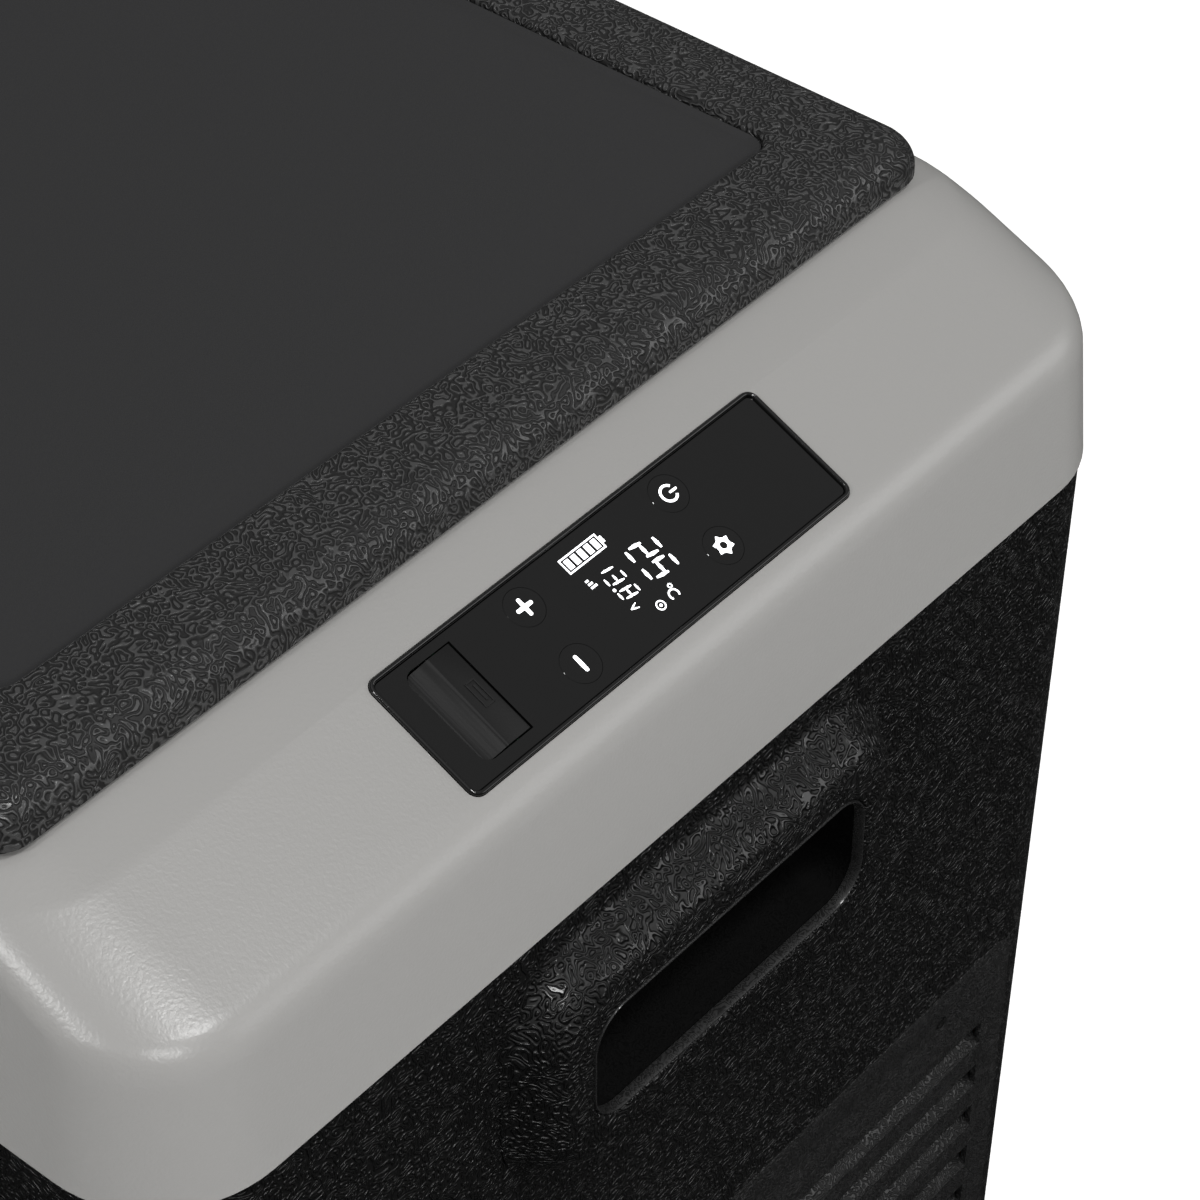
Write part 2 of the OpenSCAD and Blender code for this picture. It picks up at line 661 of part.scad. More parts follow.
module fan_frame() {
    f = fan_size / 2;
    color("#17181a") union() {
        difference() {
            slab_y(bay_mid - f, bay_mid + f, fan_y, fan_y + fan_t, fan_z - f, fan_z + f, 6);
            rod_y(bay_mid, fan_y - 1, fan_y + fan_t + 1, fan_z, f - 3);
        }
        difference() {
            union() {
                rod_y(bay_mid, fan_y, fan_y + 3, fan_z, 20);
                translate([bay_mid, 0, fan_z]) for (a = [45, 135]) rotate([0, a, 0])
                    block(-f, f, fan_y, fan_y + 3, -2, 2);
            }
            rod_y(bay_mid, fan_y - 1, fan_y + fan_t + 1, fan_z, 2 + pin_gap);
        }
    }
}
module fan_rotor() {
    f = fan_size / 2;
    color("#2a2b2e") translate([bay_mid, 0, fan_z]) union() {
        rod_y(0, fan_y + 4, fan_y + fan_t - 2, 0, 19);
        rod_y(0, fan_y + 0.5, fan_y + 8, 0, 2);
        for (k = [0:6]) rotate([0, 360 * k / 7, 0]) translate([0, fan_y + 13, 0]) rotate([0, 0, 38])
            block(-10, 10, -0.9, 0.9, 17, f - 5);
    }
}
module filter_drier() {
    color("#b87333") translate([drier_x, drier_y, foot_h + 60]) rotate_extrude() polygon([
        [0, -8], [2.5, -8], [2.5, 0], [9, 8], [9, 72], [2.5, 80], [2.5, 88], [0, 88]]);
}
module discharge_pipe() {
    top = compressor_z + 92;
    color("#b87333") tube(smooth([
        [bay_mid + 20, compressor_y + 50, top],
        [bay_mid + 25, compressor_y + 66, top + 3],
        [bay_mid + 30, compressor_y + 95, top + 46],
        [bay_mid + 36, compressor_y + 155, top + 58],
        [bay_mid + 56, tube_ys[1] - 18, top + 56],
        [bay_mid + end_x + 8, tube_ys[1] - 1, top + 42],
        [bay_mid + end_x + 7, tube_ys[1], tube_z(4) + 5],
        [bay_mid + end_x, tube_ys[1], tube_z(4)]], 4), 2.5);
}
module suction_pipe() {
    z = coil_z + coil_pitch * coil_turns;
    color("#b87333") tube(smooth([
        [bay_x0 + 2, -20, z - 20],
        [bay_x0 + 12, -22, z - 21],
        [bay_x0 + 24, -30, z - 26],
        [bay_mid - 30, compressor_y + 34, z - 40],
        [bay_mid - 22, compressor_y + 24, compressor_z + compressor_h + 12],
        [bay_mid - 22, compressor_y + 22, compressor_z + compressor_h - 4]], 4), 3);
}
module capillary_tube() {
    turns = 3;
    steps = turns * 12;
    top = foot_h + 60 + 88 + 6;
    color("#c98a55") tube(concat(
        [[drier_x, drier_y, top - 6]],
        [for (k = [0:steps]) let (a = 360 * k / 12)
            [drier_x + 9 - 9 * cos(a), drier_y + 9 * sin(a), top + 5 * k / 12]]), 1.2, 6);
}
module driver_case() {
    color("#303236") union() {
        slab_x(bay_x0 + 0.3, bay_x0 + 10, 70, 148, bay_z1 - 60, bay_z1 - 4, 3);
        for (k = [0:7]) block(bay_x0 + 9, bay_x0 + 16, 74 + k * 9.5, 76 + k * 9.5, bay_z1 - 58, bay_z1 - 6);
    }
}
module dc_inlet() {
    face = half_w - body_in(dc_z);
    color("#0c0c0d") difference() {
        union() {
            rod_y(dc_x, face + 0.2, face + 1.8, dc_z, dc_r + 3);
            rod_y(dc_x, face - 18, face + 0.5, dc_z, dc_r);
        }
        rod_y(dc_x, face - 15, face + 9, dc_z, dc_r - 2.5);
        for (x = [-4, 4]) rod_y(dc_x + x, face - 19, face - 14, dc_z, 1.1);
    }
}
module dc_inlet_pins() {
    face = half_w - body_in(dc_z);
    color("gold") for (x = [-4, 4]) rod_y(dc_x + x, face - 22, face - 4, dc_z, 1.1);
}

// Controls
module face_slab(grow, z0, z1, r) {
    slab(-panel_h / 2 + bezel_rim - grow, panel_h / 2 - bezel_rim + grow, -panel_w / 2 + bezel_rim - grow,
        panel_w / 2 - bezel_rim + grow, z0, z1, r);
}
module control_bezel() {
    color("#202020") on_panel() difference() {
        slab(-panel_h / 2, panel_h / 2, -panel_w / 2, panel_w / 2, -bezel_d, bezel_rise, 2.8);
        face_slab(0, face_z - overlay_t - seat_gap, 9, 1.8);
        for (w = [[5 - panel_w / 2, bar_q[0] - 1.5], [bar_q[0] + 1.5, bar_q[1] - 1.5],
            [bar_q[1] + 1.5, panel_w / 2 - 5]]) block(2.6 - panel_h / 2, panel_h / 2 - 2.6, w[0], w[1], -9, 1);
    }
    color("#202020") on_panel() for (q = bar_q) rod_z(0, q, board_z, -bezel_d + eps, 1.4);
}
module usb_opening(grow, z0, z1) {
    slab(usb_p0 - grow, usb_p1 + grow, usb_q0 - grow, usb_q1 + grow, z0, z1, flap_corner_r + grow);
    block(usb_p0 - grow, usb_p1 + grow, usb_q1 - flap_corner_r - 1, usb_q1 + grow, z0, z1);
}
module control_overlay() {
    color("#262626") on_panel() difference() {
        face_slab(-seat_gap / 2, face_z - overlay_t, face_z, 1.7);
        for (k = key_places) rod_z(k.x, k.y, face_z - 9, face_z + 1, key_r + slide_gap);
        usb_opening(slide_gap, -9, 9);
        slab(-13, 13, -11, 20, -9, face_z - 0.5, 2);
    }
}
module key(place) {
    color("#262626") on_panel() union() {
        rod_z(place.x, place.y, face_z - key_t, face_z, key_r);
        rod_z(place.x, place.y, switch_z + key_travel + 0.3, face_z - key_t + 0.1, 1.6);
    }
}
module power_key() { key(key_places[0]); }
module settings_key() { key(key_places[1]); }
module plus_key() { key(key_places[2]); }
module minus_key() { key(key_places[3]); }
module display_module() {
    color("#181818") on_panel() union() {
        slab(-12.5, 12.5, -10.5, 19.5, face_z - 3.6, face_z - 1.2, 1.5);
        for (p = [-8, 8], q = [-8, 17]) rod_z(p, q, board_z, face_z - 3.5, 0.8);
    }
}
function digit_bars(d) = [
    [1, 1, 1, 1, 1, 1, 0], [0, 1, 1, 0, 0, 0, 0], [1, 1, 0, 1, 1, 0, 1], [1, 1, 1, 1, 0, 0, 1],
    [0, 1, 1, 0, 0, 1, 1], [1, 0, 1, 1, 0, 1, 1], [1, 0, 1, 1, 1, 1, 1], [1, 1, 1, 0, 0, 0, 0],
    [1, 1, 1, 1, 1, 1, 1], [1, 1, 1, 1, 0, 1, 1]][d];
module digit(d, q, p, h, w) {
    t = h * 0.12;
    bars = [[0, 1, 0], [0.5, 0.75, 1], [0.5, 0.25, 1], [0, 0, 0], [-0.5, 0.25, 1], [-0.5, 0.75, 1], [0, 0.5, 0]];
    for (k = [0:6]) if (digit_bars(d)[k] == 1)
        translate([p + bars[k].x * w * 0.7, q + (bars[k].y - 0.5) * h])
            square(bars[k].z == 1 ? [t, h * 0.36] : [w * 0.52, t], center = true);
}
module display_segments() {
    color("white") on_panel() translate([0, 0, face_z - 1.2]) linear_extrude(0.5) {
        digit(2, 12, -5, 8, 7);
        digit(5, 12, 5, 8, 7);
    }
}
module control_board() {
    color("#1f5a3a") on_panel() difference() {
        union() {
            block(-14, 14, -58, 58, board_z - board_t, board_z);
            for (k = key_places) block(k.x - 2.2, k.x + 2.2, k.y - 2.2, k.y + 2.2, board_z - eps, switch_z);
        }
        slab(-8 - seat_gap, 8 + seat_gap, usb_q - 4 - seat_gap, usb_q + 4 + seat_gap, board_z - 9, 0, 1);
    }
}
module usb_port() {
    color("#c8cacc") on_panel() difference() {
        slab(-8, 8, usb_q - 4, usb_q + 4, face_z - flap_t - 0.7 - port_d, face_z - flap_t - 0.7, 1);
        slab(-6.4, 6.4, usb_q - 2.4, usb_q + 2.4, face_z - flap_t + 0.3 - port_d, 9, 0.8);
    }
}
module usb_cover() {
    fold_q = usb_q1 - flap_r;
    nail_r = 5;
    color("#161616") on_panel() union() {
        difference() {
            usb_opening(0, face_z - flap_t, face_z + flap_rise);
            block(usb_p0 - 1, usb_p1 + 1, fold_q, usb_q1 + 1, -9, 9);
            rod_z(2, usb_q0 + 1.8 - nail_r, face_z - 0.5, 9, nail_r);
        }
        rod_x(usb_p0, usb_p1, fold_q, face_z + flap_rise - flap_r, flap_r);
    }
}

// Lid
function lid_ring(z, in) = at_z(rounded(lid_x0 + in, lid_x1 - in, in - lid_y, lid_y - in, lid_r - in), z);
module lid_shell() {
    arc = [for (k = [0:6]) k * 15];
    color("#232323") difference() {
        skin(concat(
            [lid_ring(lid_z0, 0.3)],
            [lid_ring(lid_z0 + 0.4, 0)],
            [for (a = arc) lid_ring(total_h - lid_edge_r * (1 - sin(a)), lid_edge_r * (1 - cos(a)))]));
        lid_recess(0, recess_z - inlay_t);
        slab(lid_x0 + lid_t, lid_x1 - lid_t, lid_t - lid_y, lid_y - lid_t, lid_z0 - 1,
            lid_z0 + liner_t, lid_r - lid_t);
        slab(lid_x0 + 9, lid_x1 - 9, 9 - lid_y, lid_y - 9, lid_z0 - 1, recess_z - inlay_t - lid_t, 6);
        lid_screw_places() rod_z(0, 0, lid_z0, lid_z0 + liner_t + 4, 1.5);
        at_hinges() block(-leaf_w / 2 - seat_gap, leaf_w / 2 + seat_gap, lid_y - 8, lid_y + 9,
            lid_z0 - 1, lid_z0 + leaf_t + 0.2);
    }
}
module lid_recess(gap, z0) {
    slab(lid_x0 + rim_w + gap, lid_x1 - rim_w - gap, rim_w - lid_y + gap, lid_y - rim_w - gap, z0,
        total_h + 9, 6);
}
module lid_inlay() {
    color("#303030") intersection() {
        lid_recess(seat_gap, recess_z - inlay_t);
        block(lid_x0, lid_x1, -lid_y, lid_y, recess_z - inlay_t, recess_z);
    }
}
module plug(off, z0, z1) {
    d = plug_gap + off;
    slab(tub_x0 + d, tub_x1 - d, d - tub_y, tub_y - d, z0, z1, plug_r - off);
}
module lid_foam() {
    color("#e8dfa8") union() {
        plug(liner_t, plug_z + liner_t, lid_z0 + liner_t + 0.2);
        slab(lid_x0 + 9.2, lid_x1 - 9.2, 9.2 - lid_y, lid_y - 9.2, lid_z0 + liner_t, recess_z - inlay_t - lid_t, 6);
    }
}
module lid_liner() {
    color("#cfcfcd") difference() {
        union() {
            slab(lid_x0 + lid_t + seat_gap, lid_x1 - lid_t - seat_gap, lid_t + seat_gap - lid_y,
                lid_y - lid_t - seat_gap, lid_z0, lid_z0 + liner_t, lid_r - lid_t);
            plug(0, plug_z, lid_z0 + 1);
        }
        plug(liner_t, plug_z + liner_t, lid_z0 + 9);
        at_hinges() block(-leaf_w / 2 - 1, leaf_w / 2 + 1, lid_y - 9, lid_y + 9, lid_z0 - 1, lid_z0 + 9);
        translate([lid_mid, striker_y, 0]) block(-9, 9, -4.4, 9, lid_z0 - 1, lid_z0 + 0.8);
        lid_screw_places() rod_z(0, 0, lid_z0 - 1, lid_z0 + 1, 2.8);
        lid_screw_places() rod_z(0, 0, lid_z0 - 1, lid_z0 + 9, 1.5);
    }
}
module lid_gasket() {
    z0 = deck_z + tub_flange_t + gasket_gap;
    color("#2a2a2a") difference() {
        union() {
            tub_mouth(11.5, lid_z0 - 1.6, lid_z0);
            tub_mouth(10, z0, lid_z0 - 1);
        }
        tub_mouth(2, z0 - 1, lid_z0 + 1);
    }
}
module lid_screw_places() {
    for (x = [lid_x0 + 6, lid_x1 - 5.6], y = [-1, 0, 1] * (lid_y - 40)) translate([x, y, 0]) children();
}
module lid_screws() {
    color("silver") lid_screw_places() union() {
        rod_z(0, 0, lid_z0 + 0.1, lid_z0 + 1, 2.6);
        rod_z(0, 0, lid_z0 + 0.5, lid_z0 + liner_t + 4, 1.5);
    }
}

// Hinges and catch
module hinge_screw_places() {
    for (x = [-hinge_l / 2 + 5.5, hinge_l / 2 - 5.5]) translate([x, hinge_y, 0]) children();
}
module lid_hinge_leaves() {
    color("#2b2b2d") at_hinges() difference() {
        union() {
            block(-leaf_w / 2, leaf_w / 2, lid_y - 7.5, hinge_y, lid_z0, lid_z0 + leaf_t);
            rod_x(-leaf_w / 2, leaf_w / 2, hinge_y, hinge_z, knuckle_r);
        }
        rod_x(-leaf_w, leaf_w, hinge_y, hinge_z, hinge_pin_r + pin_gap);
    }
}
module frame_hinge_brackets() {
    color("#2b2b2d") at_hinges() difference() {
        union() {
            block(-hinge_l / 2, hinge_l / 2, lid_y + 1, hinge_y + knuckle_r, pocket_floor, pocket_floor + 1.2);
            for (s = [-1, 1]) {
                rod_x(s * (leaf_w + ear_w + 1) / 2 - ear_w / 2, s * (leaf_w + ear_w + 1) / 2 + ear_w / 2,
                    hinge_y, hinge_z, knuckle_r);
                translate([s * (leaf_w + ear_w + 1) / 2, 0, 0]) block(-ear_w / 2, ear_w / 2,
                    hinge_y - knuckle_r, hinge_y + knuckle_r, pocket_floor, hinge_z);
            }
        }
        rod_x(-hinge_l, hinge_l, hinge_y, hinge_z, hinge_pin_r);
        hinge_screw_places() rod_z(0, 0, pocket_floor - 1, pocket_floor + 9, 1.4);
    }
}
module hinge_pins() {
    color("silver") at_hinges() rod_x(-leaf_w / 2 - ear_w - 1, leaf_w / 2 + ear_w + 1, hinge_y, hinge_z,
        hinge_pin_r);
}
module hinge_screws() {
    color("silver") at_hinges() hinge_screw_places() union() {
        rod_z(0, 0, pocket_floor + 1.2, pocket_floor + 2.6, 2.6);
        rod_z(0, 0, pocket_floor - 6, pocket_floor + 1.5, 1.2);
    }
}
module lid_striker() {
    color("silver") translate([lid_mid, striker_y, 0]) difference() {
        union() {
            block(-8, 8, -2.2, 6, lid_z0 - 0.6, lid_z0 + 0.6);
            block(2, 5, -4, 4, pocket_floor + 0.8, lid_z0);
        }
        block(0, 9, -2.4, 2.4, bolt_z - 0.8, bolt_z + bolt_h + 0.8);
    }
}
module lock_slider() {
    color("#1a1a1a") translate([lid_mid, 0, 0]) union() {
        block(-22, -10, -half_w + 3.4, -half_w + 14, pocket_floor + slide_gap, pocket_floor + 5.5);
        block(-18, -12, -half_w + 13, striker_y + 1.6, bolt_z, bolt_z + bolt_h);
        block(-18, -1, striker_y - 1.6, striker_y + 1.6, bolt_z, bolt_z + bolt_h);
    }
}

body_shell();
base_plate();
rubber_feet();
base_screws();
grip_surround_right();
grip_surround_left();
grip_cup_right();
grip_cup_left();
end_grille();
side_grille_front();
side_grille_back();
grille_screws();
top_frame();
tub_liner();
insulation_foam();
bay_partition();
evaporator_coil();
interior_lamp();
temperature_probe();
compressor_shell();
compressor_plate();
compressor_grommets();
compressor_bolts();
compressor_terminal_cover();
condenser_fins();
condenser_tubes();
fan_frame();
fan_rotor();
filter_drier();
discharge_pipe();
suction_pipe();
capillary_tube();
driver_case();
dc_inlet();
dc_inlet_pins();
control_bezel();
control_overlay();
display_module();
display_segments();
control_board();
power_key();
settings_key();
plus_key();
minus_key();
usb_port();
usb_cover();
lid_shell();
lid_inlay();
lid_foam();
lid_liner();
lid_gasket();
lid_hinge_leaves();
frame_hinge_brackets();
hinge_pins();
lid_striker();
lock_slider();
lid_screws();
hinge_screws();
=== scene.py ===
import math

import bmesh
import bpy
from mathutils import Matrix, Vector


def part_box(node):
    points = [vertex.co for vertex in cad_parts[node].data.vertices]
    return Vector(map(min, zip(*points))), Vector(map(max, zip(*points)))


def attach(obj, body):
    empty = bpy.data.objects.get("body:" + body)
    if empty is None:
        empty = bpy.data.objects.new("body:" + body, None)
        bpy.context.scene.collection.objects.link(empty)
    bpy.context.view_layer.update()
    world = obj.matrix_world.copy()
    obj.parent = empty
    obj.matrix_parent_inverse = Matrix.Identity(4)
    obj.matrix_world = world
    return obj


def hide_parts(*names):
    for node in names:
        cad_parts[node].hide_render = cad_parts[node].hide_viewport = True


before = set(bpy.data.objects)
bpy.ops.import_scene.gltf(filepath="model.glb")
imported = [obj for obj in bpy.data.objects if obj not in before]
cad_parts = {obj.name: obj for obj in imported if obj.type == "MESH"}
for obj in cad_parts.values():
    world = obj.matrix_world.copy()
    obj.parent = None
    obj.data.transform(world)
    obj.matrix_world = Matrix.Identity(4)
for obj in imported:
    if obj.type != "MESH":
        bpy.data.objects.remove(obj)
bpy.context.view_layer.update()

# Studio: a long lens looks down on the control end from its near corner. The floor is pale. One large
# softbox hangs overhead and one stands beyond the far corner; three small ones draw the bright lines
# on the collar's shoulder, along its side and on the grip's rim.
camera = bpy.data.objects.new("camera", bpy.data.cameras.new("camera"))
camera.data.lens = 112.0
camera.data.sensor_width = 36.0
camera.data.clip_end = 50.0
camera.location = (0.6578, -0.4736, 0.9457)
camera.rotation_euler = Vector((-0.4785, 0.568, -0.669)).to_track_quat("-Z", "Y").to_euler()
bpy.context.scene.collection.objects.link(camera)
bpy.context.scene.camera = camera
bpy.context.scene.view_settings.view_transform = "Standard"


def softbox(name, place, target, width, height, watts):
    light = bpy.data.lights.new(name, "AREA")
    light.shape = "RECTANGLE"
    light.size = width
    light.size_y = height
    light.energy = watts
    lamp = bpy.data.objects.new(name, light)
    lamp.location = place
    lamp.rotation_euler = (Vector(target) - Vector(place)).to_track_quat("-Z", "Y").to_euler()
    bpy.context.scene.collection.objects.link(lamp)
    return lamp


softbox("overhead_softbox", (0.1, -0.3, 2.6), (0.1, 0.0, 0.3), 1.8, 1.8, 4.0)
softbox("corner_softbox", (1.9, 1.5, 1.1), (0.25, 0.0, 0.35), 1.9, 1.0, 12.0)
softbox("near_softbox", (1.1, 0.12, 2.13), (0.27, -0.15, 0.39), 0.3, 0.3, 16.0)
softbox("side_softbox", (0.2, -1.6, 1.8), (0.25, -0.16, 0.39), 0.25, 0.25, 12.0)
softbox("grip_softbox", (1.64, -0.87, 1.57), (0.29, -0.05, 0.33), 0.35, 0.35, 11.0)


def add(tree, kind, inputs=(), **settings):
    """Adds a shader node with its settings, and sets or links its inputs."""
    made = tree.nodes.new("ShaderNode" + kind)
    for setting, value in settings.items():
        setattr(made, setting, value)
    for key, value in dict(inputs).items():
        if isinstance(value, bpy.types.NodeSocket):
            tree.links.new(value, made.inputs[key])
        else:
            made.inputs[key].default_value = value
    return made


def linear(code):
    """sRGB hex, such as 9b9a98, to a linear colour."""
    parts = [int(code[i:i + 2], 16) / 255 for i in (0, 2, 4)]
    return [p / 12.92 if p <= 0.04045 else ((p + 0.055) / 1.055) ** 2.4 for p in parts] + [1.0]


world = bpy.data.worlds.new("studio")
bpy.context.scene.world = world
world.use_nodes = True
sky = world.node_tree
up = add(sky, "SeparateXYZ", {0: add(sky, "TexCoord").outputs["Generated"]}).outputs["Z"]
glow = add(sky, "MapRange",
           {"Value": up, "From Min": 0.0, "From Max": 0.5, "To Min": 0.02, "To Max": 0.34})
sky.links.new(glow.outputs[0], sky.nodes["Background"].inputs["Strength"])
sky.nodes["Background"].inputs["Color"].default_value = (1.0, 1.0, 1.0, 1.0)


def new_material(name):
    """A material with its node tree and its surface shader."""
    material = bpy.data.materials.new(name)
    material.use_nodes = True
    return material, material.node_tree, material.node_tree.nodes["Principled BSDF"]


def surface(shader, colour, rough, metal=0.0, **more):
    """Sets the shader's own uniform values."""
    shader.inputs["Base Color"].default_value = linear(colour)
    shader.inputs["Roughness"].default_value = rough
    shader.inputs["Metallic"].default_value = metal
    for key, value in more.items():
        shader.inputs[key.replace("_", " ")].default_value = value


# Even white and dull, lit a little of itself so that it stays pale behind the object
floor_paint, tree, shader = new_material("matt white paint")
surface(shader, "fafafa", 0.9, Emission_Strength=0.45)
shader.inputs["Emission Color"].default_value = (1.0, 1.0, 1.0, 1.0)
mesh = bmesh.new()
bmesh.ops.create_grid(mesh, x_segments=1, y_segments=1, size=4.0)
floor = bpy.data.objects.new("floor", bpy.data.meshes.new("floor"))
mesh.to_mesh(floor.data)
mesh.free()
floor.data.materials.append(floor_paint)
floor.visible_glossy = False
bpy.context.scene.collection.objects.link(floor)

# Body shell: one deep injection-moulded tub of black ABS with a leather grain from the etched mould,
# open at the top and bottom, with an inward flange for the base plate's screws.
MM = 0.001


def size(node):
    """Lowest and highest corner of a CAD node, in millimetres."""
    low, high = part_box(node)
    return low / MM, high / MM


def corner_pattern(steps):
    """A flat square with rounded corners; each point remembers its corner and its direction."""
    mesh = bmesh.new()
    bmesh.ops.create_grid(mesh, x_segments=1, y_segments=1, size=2.0)
    bmesh.ops.bevel(mesh, geom=mesh.verts[:], offset=1.0, affect="VERTICES", segments=steps,
                    profile=0.5, material=-1)
    corner = mesh.verts.layers.float_vector.new("corner")
    heading = mesh.verts.layers.float_vector.new("heading")
    for v in mesh.verts:
        sign = Vector((math.copysign(1, v.co.x), math.copysign(1, v.co.y), 0))
        v[corner] = sign
        v[heading] = (v.co - sign).normalized()
    return mesh, corner, heading


def loft(levels, steps=10, cap=False, closed=False):
    """Rounded rectangles (x0, x1, y0, y1, r, z) skinned in order, by extruding the ring each time."""
    mesh, corner, heading = corner_pattern(steps)

    def set_ring(points, level):
        x0, x1, y0, y1, r, z = level
        for v in points:
            v.co = ((x1 - r if v[corner].x > 0 else x0 + r) + r * v[heading].x,
                    (y1 - r if v[corner].y > 0 else y0 + r) + r * v[heading].y, z)

    set_ring(mesh.verts, levels[0])
    edges = mesh.edges[:]
    if not cap:
        bmesh.ops.delete(mesh, geom=mesh.faces[:], context="FACES_ONLY")
    for level in levels[1:]:
        grown = bmesh.ops.extrude_edge_only(mesh, edges=edges)["geom"]
        edges = [g for g in grown if isinstance(g, bmesh.types.BMEdge)
                 and all(v in grown for v in g.verts)]
        set_ring([g for g in grown if isinstance(g, bmesh.types.BMVert)], level)
    if cap:
        bmesh.ops.edgeloop_fill(mesh, edges=edges)
    if closed:
        bmesh.ops.remove_doubles(mesh, verts=mesh.verts[:], dist=0.001)
    bmesh.ops.recalc_face_normals(mesh, faces=mesh.faces[:])
    return mesh


def to_object(name, mesh):
    """Turns a millimetre mesh into an object in metres at the origin."""
    bmesh.ops.scale(mesh, vec=(MM, MM, MM), verts=mesh.verts[:])
    made = bpy.data.objects.new(name, bpy.data.meshes.new(name))
    mesh.to_mesh(made.data)
    mesh.free()
    bpy.context.scene.collection.objects.link(made)
    return made


def bake(made):
    """Replaces an object's mesh with what its modifiers make."""
    result = made.evaluated_get(bpy.context.evaluated_depsgraph_get())
    made.data = bpy.data.meshes.new_from_object(result)
    made.modifiers.clear()


def cut(made, *tools, how="DIFFERENCE"):
    """Takes the tool meshes out of a closed object, or adds them to it with UNION."""
    for tool in tools:
        cutter = to_object("cutter", tool)
        change = made.modifiers.new("cut", "BOOLEAN")
        change.operation = how
        change.solver = "EXACT"
        change.object = cutter
        bake(made)
        bpy.data.objects.remove(cutter)


def rounded_edges(made, width, segments=2, angle=32):
    """Breaks the sharp edges as the mould does."""
    change = made.modifiers.new("edges", "BEVEL")
    change.width = width * MM
    change.segments = segments
    change.limit_method = "ANGLE"
    change.angle_limit = math.radians(angle)
    change.use_clamp_overlap = True
    bake(made)


def finish(made, material, body, replaced=(), angle=38):
    """Smooths, paints and mounts a finished piece."""
    made.data.materials.clear()
    made.data.materials.append(material)
    made.data.polygons.foreach_set("use_smooth", [True] * len(made.data.polygons))
    made.data.set_sharp_from_angle(angle=math.radians(angle))
    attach(made, body)
    if replaced:
        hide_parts(*replaced)
    return made


def block(x0, x1, y0, y1, z0, z1):
    """A box between two corners."""
    mesh = bmesh.new()
    bmesh.ops.create_cube(mesh, size=1.0)
    bmesh.ops.scale(mesh, vec=(x1 - x0, y1 - y0, z1 - z0), verts=mesh.verts[:])
    bmesh.ops.translate(mesh, vec=((x0 + x1) / 2, (y0 + y1) / 2, (z0 + z1) / 2), verts=mesh.verts[:])
    return mesh


def slab(x0, x1, y0, y1, z0, z1, r, turn=None, steps=6):
    """A rounded plate, turned into place by a matrix."""
    mesh = loft([(x0, x1, y0, y1, r, z0), (x0, x1, y0, y1, r, z1)], steps, cap=True)
    if turn:
        bmesh.ops.transform(mesh, matrix=turn, verts=mesh.verts[:])
    return mesh


# Maps a flat pattern (x, y, z) onto the end wall: its x runs along Y, its y up Z, its z out along X
TO_END = Matrix(((0, 0, 1, 0), (1, 0, 0, 0), (0, 1, 0, 0), (0, 0, 0, 1)))
# and onto a long side wall: its x runs along X, its y up Z, its z along Y
TO_SIDE = Matrix(((1, 0, 0, 0), (0, 0, 1, 0), (0, 1, 0, 0), (0, 0, 0, 1)))


def noise(tree, cell, detail):
    """Noise in the object's own space, with cells about this many millimetres across."""
    place = add(tree, "TexCoord").outputs["Object"]
    return add(tree, "TexNoise", {"Vector": place, "Scale": 1 / (cell * MM), "Detail": detail}).outputs[0]


def relief(tree, shader, height, depth):
    """Raises the surface by up to this many millimetres."""
    bump = add(tree, "Bump", {"Strength": 1.0, "Distance": depth * MM, "Height": height})
    tree.links.new(bump.outputs[0], shader.inputs["Normal"])


def tint(tree, shader, factor, first, second, socket="Base Color"):
    """Varies the colour from the first to the second."""
    shade = add(tree, "Mix", {0: factor, 6: linear(first), 7: linear(second)}, data_type="RGBA")
    tree.links.new(shade.outputs[2], shader.inputs[socket])


def polish(tree, shader, factor, first, second):
    """Varies the roughness from the first to the second."""
    tone = add(tree, "MapRange", {"Value": factor, "To Min": first, "To Max": second})
    tree.links.new(tone.outputs[0], shader.inputs["Roughness"])


def grained(name, tops, groove_shade, rough, pitch, depth):
    """Moulded plastic with an etched leather grain: crooked raised worms, pitch mm apart, with the grooves
    between painted darker as shade.
    """
    material, tree, shader = new_material(name)
    surface(shader, tops, rough)
    cell = pitch * MM
    place = add(tree, "TexCoord").outputs["Object"]
    drift = add(tree, "TexNoise", {"Vector": place, "Scale": 0.3 / cell, "Detail": 0.0})
    bend = add(tree, "VectorMath", {0: drift.outputs["Color"], 1: (cell * 1.5,) * 3}, operation="MULTIPLY")
    bent = add(tree, "VectorMath", {0: place, 1: bend.outputs[0]}, operation="ADD")
    field = add(tree, "TexNoise", {"Vector": bent.outputs[0], "Scale": 0.87 / cell, "Detail": 0.0})
    folds = add(tree, "Math", {0: field.outputs[0], 1: 26.0}, operation="MULTIPLY")
    worm = add(tree, "Math", {0: folds.outputs[0]}, operation="SINE")
    height = add(tree, "MapRange", {"Value": worm.outputs[0], "From Min": -0.9, "From Max": 0.9},
                 interpolation_type="SMOOTHSTEP").outputs[0]
    relief(tree, shader, height, depth)
    polish(tree, shader, height, min(rough + 0.35, 1.0), rough)
    # Painted shade: the grooves take the darker colour, the worm tops the lighter one.
    tint(tree, shader, height, groove_shade, tops)
    return material


# Deep black, with a wet glint on every worm of the grain and dull grooves between, painted darker as shade
body_plastic = grained("black abs, leather grain", "0e0e0e", "010101", 0.22, 2.2, 0.75)
body_low, body_high = size("body_shell")
frame_low, frame_high = size("top_frame")
STEP = 0.8
WALL = 3.0
CORNER = 32.0
GRIP_MARGIN = 7.4
INLET_R = 11.2
LEAN = math.tan(math.radians(0.5))
# how far a cutting block runs past what it cuts
PAST = 9
base_z = body_low.z
join_z = frame_low.z


def body_inset(z):
    return STEP + (join_z - z) * LEAN


def body_level(z, inward):
    d = body_inset(z) + inward
    return (frame_low.x + d, frame_high.x - d, frame_low.y + d, frame_high.y - d,
            max(CORNER - STEP - inward, 14), z)


